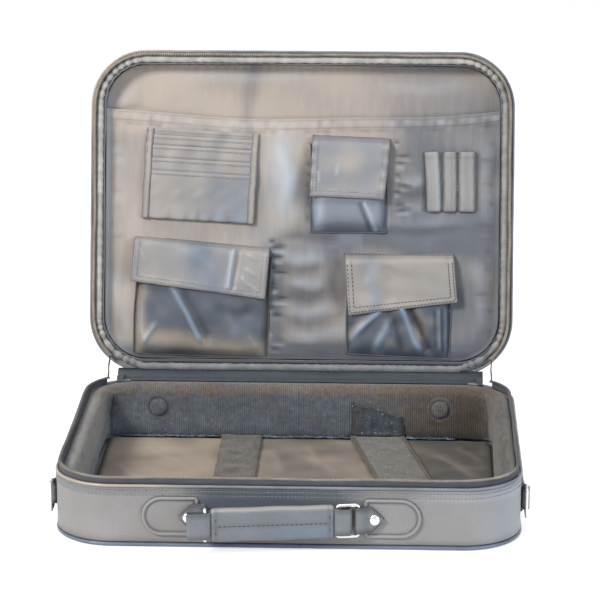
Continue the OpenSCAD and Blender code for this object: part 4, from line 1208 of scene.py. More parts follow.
class BRIEFCASE_OT_base_floor(bpy.types.Operator):
    """Satin over the base's floor, with its wrinkles, and the loose fibres along its seam"""

    bl_idname = "briefcase.base_floor"
    bl_label = "Base floor"

    def execute(self, context):
        inset = HALF_D - PAD_FACE + 0.1
        half_w, half_d = HALF_W - inset, HALF_D - inset
        x, y = rounded_grid(half_w, half_d, mm("corner_radius") - inset, step=2.4, square=6)
        wrinkles = creases(
            x, y, ([(-176, 60), (-150, 20), (-128, -30)], 5, 0.9, 0.3, 0.3),
            ([(-150, 110), (-120, 70), (-96, 40)], 4, 0.7), ([(-30, 110), (-18, 70), (-12, 20)], 4.5, 0.8, 0.3, -0.3),
            ([(4, 120), (16, 86), (20, 40)], 3.6, 0.7), ([(-8, 90), (26, 60), (46, 10)], 4.2, 0.6),
            ([(120, 100), (150, 60), (172, 10)], 5, 0.8, 0.3, 0.3), ([(140, 118), (164, 92), (178, 60)], 3.6, 0.6),
        )
        edge = np.minimum(half_d - np.abs(y), half_w - np.abs(x))
        z = FLOOR_TOP - 1.0 + wrinkles + 0.25 * drift(x, y, 38, 7) - 2.0 * bell(edge / 3.0)
        # Painted shade at the floor's edges and far left, painted highlights on its wrinkles, and the darker second
        # tone as painted shade over the middle and right side.
        dim = -0.75 * bell(edge / 5) - 0.35 * ease((-150 - x) / 26) + 0.28 * wrinkles
        cool = 0.16 * drift(x * 0.6 - y * 0.5, y + x * 0.3, 60, 19)
        cool = cool + 0.95 * ease((x - 50) / 78) + 0.62 * bell((x - 8) / 52)
        making = Making()
        points = on_base(x, y, np.minimum(z, FLOOR_TOP))
        making.sheet(points, thick=0.8, u=y, v=x, flip=True, painted_light_and_wear=(dim, np.clip(cool, 0, 1)))
        floor = making.make("base_floor_satin", "base", FINISH["floor"], ("base_floor_panel",))
        fibres = Making()
        rng = np.random.default_rng(17)
        for _ in range(520):
            x0 = rng.uniform(-168, 150)
            y0 = half_d - rng.uniform(0.2, 2.4)
            line = np.array([x0, y0, FLOOR_TOP - 0.2]) + rng.normal(0, 0.5, (4, 3)).cumsum(0) * [2.4, 1.2, 1.0]
            line[:, 1] = np.minimum(line[:, 1], half_d + 0.4)
            line[:, 2] = np.clip(line[:, 2], FLOOR_TOP - 0.3, FLOOR_TOP + 3)
            fibres.tube(line, radius=[0.1, 0.2, 0.17, 0.06], sides=4)
        fibres.make("base_seam_fibres", "base", FINISH["fibre"], slot="base_floor_panel")
        return {"FINISHED"}


# Handle, rings and patches

RIVET_HIGH = 2.78
RIVET = [
    (5.0, -0.6), (5.0, 0.1), (4.9, 0.6), (4.7, 1.0), (4.2, 1.6), (3.4, 2.1), (2.4, 2.5), (1.2, 2.72),
    (0.02, RIVET_HIGH),
]


def bow(x, y, r, start, end, count):
    """Points along an arc of a circle, from a start to an end angle in degrees."""
    angles = np.radians(np.linspace(start, end, count))
    return [(x + r * math.cos(a), y + r * math.sin(a)) for a in angles]


def d_ring(length, high, inset):
    """The outline of a patch: square at its start and round at its far end, clockwise from its lower start."""
    h = high / 2 - inset
    r = max(4 - inset, 0.3)
    near, far = inset + r, length - high / 2
    side = near + (far - near) * np.linspace(0, 1, 12)[1:-1]
    return np.array(
        bow(near, r - h, r, 180, 270, 7) + [(x, -h) for x in side] + bow(far, 0, h, -90, 90, 18)
        + [(x, h) for x in side[::-1]] + bow(near, h - r, r, 90, 180, 7)
    )


def patch(making, place, length, high, rise):
    """A leather patch with a rolled edge and a pressed groove inside it. place maps (along, up, out)."""
    levels = [(0.0, 0.0), (0.0, 0.9), (0.5, rise + 0.45), (1.4, rise + 0.9), (2.4, rise + 0.75), (3.3, rise - 0.1),
              (3.9, rise - 0.45), (4.6, rise - 0.2), (6.0, rise), (9.0, rise + 0.1), (high / 2 - 3, rise + 0.15)]
    # Painted light: a painted shadow round the patch's edge, a painted highlight on its roll and painted shade in its
    # groove, with a little of the dark second tone.
    marks = np.array([-0.9, -0.7, 0.0, 0.15, 0.05, -0.45, -0.7, -0.3, 0.0, 0.0, 0.0, 0.0])
    rings = [d_ring(length, high, inset) for inset, _ in levels]
    rings.append(rings[-1] * [1, 0])
    heights = [z for _, z in levels] + [rise + 0.15]
    points = np.stack([place(r[:, 0], r[:, 1], z) for r, z in zip(rings, heights)], 1)
    closed = np.stack(rings, 1)
    closed = np.concatenate([closed, closed[:1]])
    making.grid(points, closed[..., 0], closed[..., 1], around_u=True, painted_light_and_wear=(marks, 0.12))


def tab(making, place, tip, wide, thick, bar):
    """A leather tab folded round a ring's bar, its upper layer cut to a point. place maps (along, up, out)."""
    r = bar + 0.3 + thick / 2
    along = np.linspace(tip, 1.0, 18)
    level = -1.0 - thick / 2
    path = [(a, level + (r - level) * ease((9.5 - a) / 8.5)) for a in along] + bow(0, 0, r, 90, 270, 13)
    path += [(a, -r + (level - thick + r) * ease(a / 5)) for a in np.linspace(1.5, tip - wide / 2, 8)]
    path = np.array(path)
    reach = np.full(len(path), wide / 2)
    reach[:18] = np.minimum(wide / 2, (tip - along) * 1.05 + 0.9)
    way = unit(np.gradient(path, axis=0))
    a, c = path.T
    centre = place(a, 0, c)
    normal, side = place(a + way[:, 1], 0, c - way[:, 0]) - centre, place(a, 1, c) - centre
    ribbon(making, centre, normal, side, reach, thick, rim=-0.7)


class BRIEFCASE_OT_handle(bpy.types.Operator):
    """Padded handle with its loops, rings, tabs, patches and rivets"""

    bl_idname = "briefcase.handle"
    bl_label = "Handle"

    def execute(self, context):
        height = joint_point("ring_right_swing")[2]
        for side, word in ((1, "right"), (-1, "left")):
            pivot = joint_point(f"ring_{word}_swing")
            place = lambda a, b, c: on_base(pivot[0] + side * a, pivot[1] - c, pivot[2] + b)
            ends = lambda node: sorted(side * (corner[0] - pivot[0]) for corner in node_box(node))
            wall = -HALF_D - pivot[1]
            pad, fold = Making(), Making()
            start, end = ends(f"handle_patch_{word}")
            low, high = node_box(f"handle_patch_{word}")
            flat = lambda a, b, c: place(a + start, b, c - wall)
            patch(pad, flat, length=end - start, high=high[2] - low[2], rise=1.5)
            low, high = node_box(f"handle_tab_{word}")
            tip = ends(f"handle_tab_{word}")[1]
            tab(fold, place, tip, wide=high[2] - low[2], thick=1.7, bar=1.5)
            if side < 0:
                pad.turn_over()
                fold.turn_over()
            pad.make(f"handle_patch_{word}_leather", "base", FINISH["leather"], (f"handle_patch_{word}",))
            fold.make(f"handle_tab_{word}_leather", "base", FINISH["handle"], (f"handle_tab_{word}",))
            dress(f"ring_{word}", "metal")
        rivets = Making()
        low, high = node_box("handle_rivets")
        for x in (low[0] + 5, high[0] - 5):
            rivets.lathe(RIVET, np.array([x, low[1] + RIVET_HIGH, height]), (0, -1, 0), sides=36)
        rivets.make("handle_rivet_heads", "base", FINISH["metal"], ("handle_rivets",))
        self.grip()
        return {"FINISHED"}

    def grip(self):
        """The padded grip, its two flat loops and its stitches, drawn between the bars of the two rings."""
        bar, pivot = joint_point("handle_turn"), joint_point("ring_left_swing")
        ring_reach, ring_hang = 19, math.radians(82)
        left_bar = pivot[:2] + ring_reach * np.array([math.cos(ring_hang), -math.sin(ring_hang)])
        across = bar[:2] - left_bar
        yaw = math.atan2(across[1], across[0]) - math.radians(0.65)
        start, bar_radius, left_loop = 2.3, 1.5, 2.9
        length = np.hypot(*across) - start - bar_radius - left_loop
        way = np.array([math.cos(yaw), math.sin(yaw), 0])
        back = np.array([-math.sin(yaw), math.cos(yaw), 0])
        up = np.array([0, 0, 1.0])
        put = lambda a, b, c: bar + a[..., None] * way + b[..., None] * back + c[..., None] * up
        tip = np.array([0, 0.25, 0.8, 1.8, 3.2, 5])
        ts = np.concatenate([tip, np.linspace(8, length - 8, 44), length - tip[::-1]])
        angle = np.linspace(0, math.tau, 48, endpoint=False)
        ca, sa = np.cos(angle), np.sin(angle)
        rows, marks, tints = [], [], []
        for a in ts:
            end = min(a, length - a)
            near = math.sqrt(max(0.0, 1 - (1 - min(end, 3.4) / 3.4) ** 2))
            h = 14.9 * (0.9 + 0.1 * near) - 0.35 * (1 - math.sin(math.pi * a / length))
            h = h + 0.25 * math.sin(a / 7.3) * near
            c = h * np.sign(sa) * np.abs(sa) ** 0.62
            b = -5.4 * (0.62 + 0.38 * near) * np.sign(ca) * np.abs(ca) ** 0.55 * (1 - 0.1 * bell(c / 1.3))
            rows.append((a - start - length + 0 * c, b, c))
            # Painted light on the grip: painted shade in its middle seam and along its lower edge, a painted
            # highlight along its top, and painted shade in the gaps by its ends and at its end stitches.
            mark = -0.12 * bell(c / 0.8) + 0.5 * ease((c - h + 2.6) / 1.6) - 0.4 * ease((-c - h + 2.2) / 1.6)
            marks.append(mark - 0.8 * ease((1.6 - end) / 0.8) - 0.55 * bell((end - 4.2) / 0.9))
            # A cool painted sheen on the grip's lower half, growing towards its right.
            tints.append(0.7 * ease((1.5 - c) / 6) * ease((a - 20) / 60))
        a, b, c = (np.stack([r[k] for r in rows]) for k in range(3))
        b = b + np.sign(b) * 0.16 * np.sin(a * 1.15 + 1.5 * np.sin(c * 0.4)) * bell((np.abs(c) - 3) / 4)
        grip = Making()
        points = put(a, b, c)
        grip.grid(points, around_v=True, painted_light_and_wear=(np.stack(marks), np.stack(tints)), flip=True)
        for ring, flip in ((points[0], False), (points[-1], True)):
            middle = ring.mean(0)
            cap = [middle + (ring - middle) * share for share in (1, 0.6, 0.02)]
            grip.grid(np.stack(cap), around_v=True, flip=flip)
        r, level = 2.75, 4.6
        for side, x0, reach in ((1, -start, 14.8), (-1, -start - length, left_loop + 2 * bar_radius + 14)):
            far = reach - r
            half = [(-3, -1.8), (0, -2.6), (3, -4.2), (6, -level)] + [(t, -level) for t in np.linspace(7, far, 4)]
            bend = np.radians(np.linspace(-90, 90, 15)[1:-1])
            turn = [(far + r * 0.9 * math.cos(q), level * math.sin(q)) for q in bend]
            path = np.array(half + turn + [(t, -b_) for t, b_ in half[::-1]])
            ax = x0 + side * path[:, 0]
            slope = unit(np.gradient(path, axis=0))
            normal = side * ((side * slope[:, 1])[:, None] * way - slope[:, :1] * back)
            wide = 11.9 + 0.7 * ease((6 - path[:, 0]) / 6)
            ribbon(grip, put(ax, path[:, 1], 0 * ax), normal, up, wide, thick=1.7, rim=-0.5)
        piece = grip.make("handle_grip", "handle", FINISH["handle"], ("handle",))
        seam = Making()
        front = np.roll(points, 4, 1)[:, :9]
        cloth = Cloth(ts, np.arange(9), front)
        for line, pitch, size, lift in (
            ([(6, 4.0), (length - 6, 4.0)], 4.2, 0.85, 0.15),
            ([(4.2, 0.6), (4.2, 7.4)], 3.2, 0.6, 0.2),
            ([(length - 4.2, 0.6), (length - 4.2, 7.4)], 3.2, 0.6, 0.2),
        ):
            p, t, n = cloth.line(line, pitch)
            seam.stitches(p, t, -back + 0 * n, size=size, lift=lift)
        seam.make("handle_seam_stitches", "handle", FINISH["dark thread"], slot="handle")


class BRIEFCASE_OT_shoulder_rings(bpy.types.Operator):
    """Rings for a shoulder strap on both sides, with their patches, tabs and rivets"""

    bl_idname = "briefcase.shoulder_rings"
    bl_label = "Shoulder strap rings"

    def execute(self, context):
        for side, word in ((1, "right"), (-1, "left")):
            pivot = joint_point(f"side_ring_{word}_swing")
            low, high = node_box(f"side_patch_{word}")
            place = lambda a, b, c: on_base(pivot[0] + side * c, pivot[1] + a, pivot[2] + b)
            wall, start = HALF_W - abs(pivot[0]), 4.0
            flat = lambda a, b, c: place(a + start, b, c + wall)
            pad, fold = Making(), Making()
            patch(pad, flat, length=high[1] - pivot[1] - start, high=high[2] - low[2], rise=1.4)
            tab(fold, place, tip=26, wide=21.2, thick=1.5, bar=1.4)
            if side < 0:
                pad.turn_over()
                fold.turn_over()
            pad.make(f"side_patch_{word}_leather", "base", FINISH["leather"], (f"side_patch_{word}",))
            fold.make(f"side_tab_{word}_leather", "base", FINISH["handle"], slot=f"side_patch_{word}")
            dress(f"side_ring_{word}", "metal")
        rivets = Making()
        low, high = node_box("side_rivets")
        middle = (low + high) / 2
        for side, x in ((1, high[0] - RIVET_HIGH), (-1, low[0] + RIVET_HIGH)):
            rivets.lathe(RIVET, np.array([x, middle[1], middle[2]]), (side, 0, 0), sides=36)
        rivets.make("side_rivet_heads", "base", FINISH["metal"], ("side_rivets",))
        return {"FINISHED"}


# Straps and hinge


class BRIEFCASE_OT_straps(bpy.types.Operator):
    """Laptop straps on the floor and the sewn root of the right one"""

    bl_idname = "briefcase.straps"
    bl_label = "Laptop straps"

    def execute(self, context):
        self.left()
        self.right()
        return {"FINISHED"}

    def left(self):
        low, high = node_box("strap_left")
        y = np.linspace(high[1] - 0.2, low[1], 70)
        x = np.linspace(low[0] + 0.2, high[0] - 0.2, 22)
        gx, gy = np.meshgrid(x, y)
        fold = [(low[0] + 8, high[1] - 46), (high[0] - 4, high[1] - 58)]
        tear = [(high[0] - 3, high[1] - 4), (high[0] - 6, high[1] - 22), (high[0] - 3.5, high[1] - 50)]
        lift = 0.45 * drift(gx, gy, 34, 51) + crease(gx, gy, fold, 3, 0.7)
        torn = crease(gx, gy, tear, 1.4, 1.0, taper=0.1)
        band = ease(11 - high[1] + gy)
        off = gx - x.mean()
        x = gx + 0.35 * np.sin(gy / 5.1) * np.sign(off) * (np.abs(off) / 20) ** 4
        z = low[2] + 1.6 + np.clip(lift, -0.6, 0.5) - 0.5 * torn + 0.35 * band
        painted_light_and_wear = -0.85 * np.maximum(torn, ease((gx - high[0] + 3.2) / 1.5) * 0.6)
        left = Making()
        left.sheet(on_base(x, gy, z), thick=1.5, u=gx, v=gy, painted_light_and_wear=(painted_light_and_wear, 0.9 * band))
        piece = left.make("strap_left_cloth", "strap_left", FINISH["loop"], ("strap_left",))

    def right(self):
        low, high = node_box("strap_right")
        root_low, root_high = node_box("strap_right_root")
        middle, wide = (root_low[0] + root_high[0]) / 2, root_high[0] - root_low[0]
        skew = (high[0] - low[0]) - wide
        t = np.linspace(0, 1, 66)
        ga, gt = np.meshgrid(np.linspace(-1, 1, 24), t)
        gx = middle + skew * gt + ga * (wide / 2 - 0.3 + 0.35 * np.sin(gt * 40))
        gy = high[1] - 0.2 - gt * (high[1] - low[1] - 0.3)
        edge = ease((np.abs(ga) - 0.84) / 0.06)
        right = Making()
        points = on_base(gx, gy, low[2] + 1.45 + 0.3 * drift(gx, gy, 30, 57) + 0.35 * edge)
        right.sheet(points, thick=1.4, u=gx, v=gy, painted_light_and_wear=-0.3 * edge)
        piece = right.make("strap_right_felt", "strap_right", FINISH["felt"], ("strap_right",))
        bound = Making()
        for s in (-1, 1):
            line = on_base(
                middle + skew * t + s * (wide / 2 - 2.2), high[1] - 0.4 - t * (high[1] - low[1] - 0.8),
                low[2] + 1.95 + 0.25 * np.sin(t * 31 + s),
            )
            ribbon(bound, line, (0, 0, 1.0) + 0 * line, (1.0, 0, 0), half=1.7, thick=0.8)
        bound.make("strap_right_bindings", "strap_right", FINISH["binding"], slot="strap_right")
        low, high, top = root_low, root_high, root_high[2] - root_low[2]
        u, v = np.linspace(0, 1, 34), np.linspace(0, 1, 26)
        gu, gv = np.meshgrid(u, v, indexing="ij")
        x = low[0] + 0.3 + gu * (wide - 0.6) + (2 - 4 * gu) * gv
        z = low[2] + gv * (top - gu * top * 0.45)
        out = 1.6 + 0.5 * np.sin(gu * 5 + 1) * gv + 0.4 * drift(x, z, 16, 61) + 1.2 * ease((0.12 - gv) / 0.12)
        points = on_base(x, high[1] + 0.1 - np.clip(out, 0.8, 2.6), z)
        # Painted shade: the root is darker all over where it stands up the back wall, and darker still along its
        # sides and foot.
        painted_light_and_wear = -0.5 * ease((0.08 - np.minimum(gu, 1 - gu)) / 0.05) - 0.5 * ease((0.1 - gv) / 0.08)
        root = Making()
        root.sheet(points, thick=1.0, u=x, v=z, painted_light_and_wear=(painted_light_and_wear, 0.8))
        piece = root.make("strap_right_root_cloth", "base", FINISH["felt"], ("strap_right_root",))
        cloth, seams = Cloth(u, v, points), Making()
        corners = np.array([(0.05, 0.05), (0.05, 0.95), (0.95, 0.93), (0.95, 0.05)])
        fine = np.concatenate([np.linspace(p, q, 12) for p, q in zip(corners[:-1], corners[1:])])
        line = cloth.pick(cloth.points, fine[:, 0], fine[:, 1]) - [0, 0.2, 0]
        seams.tube(line, radius=0.5, sides=6, up=(0, 1, 0))
        seams.make("strap_root_edge", "base", FINISH["binding"], slot="strap_right_root")


class BRIEFCASE_OT_hinge(bpy.types.Operator):
    """Hinge band and the stays at the zip's ends, shaped for the open lid"""

    bl_idname = "briefcase.hinge"
    bl_label = "Hinge band"

    def execute(self, context):
        low, high = node_box("hinge_strip")
        start = np.array([0, HALF_D - 2, BASE_H + 0.5])
        end = lid_face(0, 2.7, mm("lid_depth") + 0.7)
        reach = np.linalg.norm(end - start)
        x = np.linspace(low[0] - 7, high[0] + 7, 140)
        t = np.linspace(-0.16, 1.06, 16)
        gx, gt = np.meshgrid(x, t, indexing="ij")
        arch = 1.15 * np.sin(gt.clip(0, 1) * math.pi) + 0.35 * np.sin(gt * math.tau) * np.sin(gx / 23)
        arch = arch + 0.16 * np.sin(gx / 2.3 + 2 * np.sin(gx / 31)) * (np.abs(gt - 0.5) > 0.3)
        line = start + (end - start) * gt[..., None]
        away = unit(np.array([0, -(end - start)[2], (end - start)[1]]))
        points = line * [0, 1, 1] + gx[..., None] * [1, 0, 0] + arch[..., None] * away
        band = Making()
        # Painted shade where the band meets the base and the lid.
        painted_light_and_wear = -0.9 * bell(gt * 12 - 1.2) - 0.9 * bell((1 - gt) * 12 - 1.2)
        band.sheet(points, thick=1.2, u=x, v=t * reach, painted_light_and_wear=painted_light_and_wear)
        piece = band.make("hinge_band", None, FINISH["hinge"], ("hinge_strip",))
        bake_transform(piece)
        for word in ("left", "right"):
            low, high = node_box(f"zip_stay_{word}")
            x0 = (low[0] + high[0]) / 2
            a = np.array([x0, low[1] + 2.1, low[2] + 1.6])
            b = np.array([x0, high[1] - 2.4, high[2] - 1.8])
            t = np.linspace(0, 1, 16)
            line = a + (b - a) * t[:, None]
            line[:, 0] += 0.25 * np.sin(t * 9)
            away = unit(np.array([0, -(b - a)[2], (b - a)[1]]))
            stay = Making()
            ribbon(stay, line, (1.0, 0, 0) + 0 * line, away, half=2.1, thick=1.1)
            piece = stay.make(f"zip_stay_{word}_tape", None, FINISH["tape"], (f"zip_stay_{word}",))
            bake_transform(piece)
        return {"FINISHED"}


# Inside the lid. s is the distance up the lid from its hinge wall.

# Each piece sewn on the document pocket: its middle x and s, and half its width and height there.
HELD = [(-100, 190, 57, 46), (-99, 73, 68, 56), (95, 68, 53, 50), (48, 188, 38, 46), (145, 187, 27, 31)]
# Each fold of the document pocket's cloth: height, width and line.
FOLDS = [
    (2.0, 8.0, [(-30, 116), (-4, 107), (30, 112)]), (1.8, 7.0, [(-14, 88), (12, 82), (30, 90)]),
    (1.6, 8.0, [(-26, 62), (2, 55), (44, 63)]), (1.4, 6.0, [(-20, 38), (10, 32), (60, 40)]),
    (-1.8, 6.0, [(-30, 98), (-2, 95), (26, 101)]), (-1.8, 7.0, [(-26, 74), (8, 68), (34, 75)]),
    (-1.4, 6.0, [(-24, 47), (4, 44), (46, 50)]), (-2.0, 5.0, [(-34, 130), (0, 131), (44, 128)]),
    (-1.3, 5.0, [(-30, 24), (20, 18), (60, 22)]), (1.4, 7.0, [(-30, 236), (-14, 190), (-22, 150)]),
    (-1.1, 6.0, [(-20, 232), (-2, 196), (-6, 150)]), (1.0, 7.0, [(-190, 104), (-178, 60), (-160, 24)]),
    (1.0, 6.0, [(-186, 236), (-176, 200), (-181, 140)]), (1.0, 7.0, [(182, 240), (176, 190), (181, 130)]),
    (1.0, 7.0, [(168, 120), (176, 80), (172, 30)]), (1.7, 5.0, [(94, 186), (108, 183), (122, 190)]),
    (-1.8, 5.0, [(92, 174), (108, 171), (128, 176)]), (1.4, 5.0, [(94, 160), (112, 160), (130, 162)]),
    (-1.2, 6.0, [(58, 138), (110, 134), (168, 142)]), (1.0, 7.0, [(60, 148), (116, 144), (176, 150)]),
    (1.0, 5.0, [(-150, 243), (-90, 238), (-20, 239)]),
]
# Each row of small pleats: their start and end x, the row's lowest and highest s, their pitch and depth.
PLEATS = [
    (-33, -17, 18, 126, 8.2, 1.3), (88, 103, 152, 224, 9.4, 1.1), (-190, -176, 120, 238, 16, 0.3),
    (189, 174, 28, 236, 21, 0.3), (3, 10, 146, 222, 10.5, 0.5),
]


def hem_line(x):
    """How far up the lid the document pocket's hem runs."""
    return 247.2 + mm("hem_sag") * (np.abs(x) / 194) ** 2.1 + 0.9 * np.sin(x / 31)


def held_down(x, s):
    """1 where a piece is sewn on the document pocket's cloth and 0 elsewhere."""
    held = 0 * x
    for x0, s0, half_x, half_s in HELD:
        held = np.maximum(held, ease((half_x - np.abs(x - x0)) / 5) * ease((half_s - np.abs(s - s0)) / 5))
    return held


def liner_relief(x, s):
    """The document pocket's cloth over its sewn level: its height, and the painted light and shade on its folds."""
    z = 0.6 * drift(x, s, 70, 71) + 0.25 * drift(x, s, 24, 72)
    mark = 0.05 * drift(x, s, 40, 73)
    # Folds and pleats are lighter on their ridges and darker in their valleys: painted light and shade.
    for high, width, line in FOLDS:
        fold = crease(x, s, line, width, high, lean=0.25)
        z, mark = z + fold, mark + 0.15 * fold
    for k, (start, end, low, high, pitch, deep) in enumerate(PLEATS):
        for i, at in enumerate(np.arange(low, high, pitch)):
            at = at + 2.2 * math.sin(i * 3.7 + k)
            reach = end + (end - start) * 0.55 * math.sin(i * 2.3 + k)
            ridge = crease(x, s, [(start, at), (reach, at + 3.0 * math.sin(i + k))], 1.6, deep, 0.45)
            at = at + pitch / 2
            valley = crease(x, s, [(start, at), (reach, at + 2.4 * math.cos(i))], 1.6, deep, 0.45)
            z, mark = z + ridge - valley, mark + 0.26 * ridge - 0.75 * valley
    # Painted shade left of the phone and charger pockets and in lines between the pen loops.
    mark = mark - creases(
        x, s, ([(6, 224), (5, 190), (7, 138)], 6, 0.5, 0.15), ([(35, 120), (30, 90), (37, 60)], 8, 0.5, 0.25),
        *(([(x0, 157), (x0, 217)], 2.2, 0.9, 0.05) for x0 in (119.5, 136.6, 151.5, 170)),
    )
    # Painted highlights left of the phone pocket and in a band across the middle.
    mark = mark + 0.5 * bell((x + 17) / 17) * bell((s - 194) / 42) + 0.12 * bell((s - 130) / 9) * (np.abs(x) < 60)
    return z * (1 - held_down(x, s)), mark


def lid_tone(x, s):
    """How far the lid's cloth turns from its warm to its cool, darker tone: painted shade over its right side and
    middle, along its bottom and in streaks and patches.
    """
    side = ease((x - 22) / 105) * (0.62 + 0.38 * ease((262 - s) / 30))
    middle = bell((x - 12) / 52) * ease((222 - s) / 60)
    streak = 0.45 * bell((x + 50 + 6 * np.sin(s / 30)) / 9) * ease((s - 120) / 60)
    below_hem = ease((240 - s) / 16)
    lower = 0.22 * ease((-50 - x) / 90) * below_hem + 0.85 * ease((32 - s) / 12)
    lower = lower + 0.6 * bell((x + 26) / 8) * ease((134 - s) / 10) + 0.5 * bell((s - 132) / 13) * ease((x - 15) / 25)
    lower = lower + 0.12 * ease((-20 - x) / 30) * ease((x + 165) / 20) * below_hem
    uneven = 0.15 * drift(x, s * 1.2, 95, 141) + 0.05 * drift(x * 5, s * 0.7, 40, 143)
    return np.clip(0.9 * side + 0.75 * middle + streak + lower + uneven + 0.02, 0, 1)


class BRIEFCASE_OT_lid_lining(bpy.types.Operator):
    """Nylon lining of the lid: its soft walls, its back and the full-width document pocket"""

    bl_idname = "briefcase.lid_lining"
    bl_label = "Lid lining"

    def execute(self, context):
        self.walls()
        self.back()
        self.document_pocket()
        return {"FINISHED"}

    def walls(self):
        top = mm("lid_depth") - 1.0
        section = [
            (-4.15, 10.2), (-4.15, top - 3.5), (-5.0, top - 3), (-6.5, top - 3), (-8.1, top - 3), (-9.6, top - 2.0),
            (-11.0, top - 1.7), (-12.0, top - 3.6), (-12.1, top - 6), (-12.1, top - 9), (-12.1, top - 12),
            (-12.1, 17.0), (-12.1, 14.0), (-11.6, 11.8), (-10.4, 10.3),
        ]
        # Painted shadow in the gap beside the binding roll, and painted light lower on the shaded wall.
        mark = np.array([-0.95, -0.95, -0.95, -0.95, -0.9, -0.8, -0.8, -0.8, -0.2, 0.5, 0.7, 0.6, 0.4, 0.1, 0])

        def shift(run, out, up):
            inner = ease((-out - 7) / 4)
            tucks = corner_amount(run) * 0.7 * np.abs(np.sin(run / 4.2 + rolling(run, 81, 50)))
            soft = 0.5 + 0.5 * rolling(run, 82, 80)
            return inner * (0.7 * soft + tucks), -0.35 * inner * tucks

        painted_light_and_wear = lambda x, y, up: (mark, lid_tone(x, HALF_D - y))
        walls = Making()
        sweep(walls, on_lid, section, shift, step=2.6, closed=True, flip=True, painted_light_and_wear=painted_light_and_wear)
        nodes = ("lid_wall_lining", "lid_corner_lining")
        piece = walls.make("lid_wall_lining_cloth", "lid", FINISH["liner"], nodes)

    def back(self):
        half_w, half_d = HALF_W - LINER_IN, HALF_D - LINER_IN
        x, y = rounded_grid(half_w + 0.4, half_d + 0.4, mm("corner_radius") - LINER_IN + 0.4, step=3.0)
        s = HALF_D - y
        edge = np.minimum(half_w - np.abs(x), half_d - np.abs(y))
        gathers = 0.6 * np.abs(np.sin(x / 2.7 + 2 * np.sin(x / 37))) * bell((HALF_D * 2 - LINER_IN - s) / 5.0)
        z = 12.2 + 1.2 * ease(edge / 9) + 0.8 * bell(np.maximum(edge, 0) / 1.3)
        z = z + 0.5 * drift(x, y, 60, 91) + 0.2 * drift(x, y, 21, 92) - gathers
        folds = creases(
            x, s, ([(-150, 292), (-60, 286), (30, 290)], 5, 0.9), ([(60, 282), (120, 276), (170, 284)], 5, 0.9),
            ([(-192, 256), (-172, 266), (-160, 280)], 4, 1.1), ([(-190, 250), (-168, 258), (-150, 262)], 3.4, -1.0),
        )
        # Painted light on the folds and painted shade in the gathers, and a painted highlight along the left margin
        # where the wall casts shade.
        mark = 0.2 * folds - 0.45 * gathers + 0.4 * bell((x + half_w) / 7)
        back = Making()
        back.sheet(on_lid(x, y, z + folds), thick=1.0, u=y, v=x, flip=True, painted_light_and_wear=(mark, lid_tone(x, s)))
        piece = back.make("lid_back_cloth", "lid", FINISH["liner"], ("lid_back_lining",))

    def document_pocket(self):
        half_w, half_d, r = HALF_W - LINER_IN, HALF_D - LINER_IN, mm("corner_radius") - LINER_IN
        x, y = rounded_grid(half_w, half_d, r, step=2.2)
        x, s = x[::-1], HALF_D - y[:, 0][::-1]
        keep = s < 236
        hem_levels = [237.5, 238.6, 239.2, 239.7, 240.6, 242.5, 244.5, 246, 247.6, 248.4, 248.8, 249.4, 249.8, 250.0]
        s = np.concatenate([s[keep], hem_levels])
        x = np.concatenate([x[keep], np.repeat(x[keep][-1:], len(hem_levels), 0)])
        level = np.repeat(s[:, None], x.shape[1], 1)
        up = level + (hem_line(x) - 250) * ease((level - 120) / 118)
        from_hem = hem_line(x) - up
        relief, mark = liner_relief(x, up)
        hem = ease((10.9 - from_hem) / 0.9)
        gather = np.sin(x / 1.9 + 2.2 * np.sin(x / 23) + from_hem / 6)
        gather = (gather + np.sin(x / 3.3 + 3 * np.sin(x / 41) - from_hem / 4)) / 1.5
        gather = gather * (0.45 + 0.55 * ease(0.5 + drift(x, 0 * x, 60, 75)))
        near = bell((from_hem - 5.6) / 3.4) + 0.8 * bell((from_hem - 13) / 3)
        rows = 0.35 * sum(bell((from_hem - row) / 0.5) for row in HEM_ROWS)
        wave = 0.8 * np.sin(x / 29 + 1) * ease((30 - from_hem) / 30)
        z = POCKET_FACE - 0.25 + relief * ease((from_hem - 6) / 20) + 0.75 * hem - rows + 0.4 * gather * near + wave
        edge = np.minimum(half_w - np.abs(x), up - LINER_IN)
        corner = np.hypot(np.maximum(np.abs(x) - half_w + r, 0), np.maximum(LINER_IN + r - up, 0))
        edge = np.where((np.abs(x) > half_w - r) & (up < LINER_IN + r), r - corner, edge)
        z = z + 1.6 * bell(np.maximum(edge, 0) / 1.3)
        # Painted shade along the bottom, a painted highlight along the left margin, light and shade on the hem's
        # gathers, dark stitch rows, and a painted shadow under the hem.
        mark = mark - 0.68 * ease((23 - up) / 8) * ease((178 - np.abs(x)) / 20) + 0.45 * bell((x + half_w) / 7)
        mark = mark + 0.22 * gather * near + 0.1 * hem - 1.1 * rows
        mark = mark - 0.35 * bell((from_hem - 12) / 0.8) * (0.6 + 0.4 * np.sin(x / 9))
        making = Making()
        making.sheet(lid_face(x, up, z), thick=0.9, u=up, v=x, painted_light_and_wear=(mark, lid_tone(x, up)))
        piece = making.make("document_pocket_cloth", "lid", FINISH["liner"], ("document_pocket",))
        seams = Making()
        for row in HEM_ROWS:
            x = np.linspace(-189, 189, round(378 / mm("stitch_pitch")))
            s, z = hem_line(x) - row, POCKET_FACE + 0.25 + 0.8 * np.sin(x / 29 + 1)
            p = lid_face(x, s, z)
            seams.stitches(p, unit(np.gradient(p, axis=0)), lid_face(x, s, z + 1) - p)
        seams.make("document_hem_stitches", "lid", FINISH["inner thread"], slot="document_pocket")


# Pockets and organiser


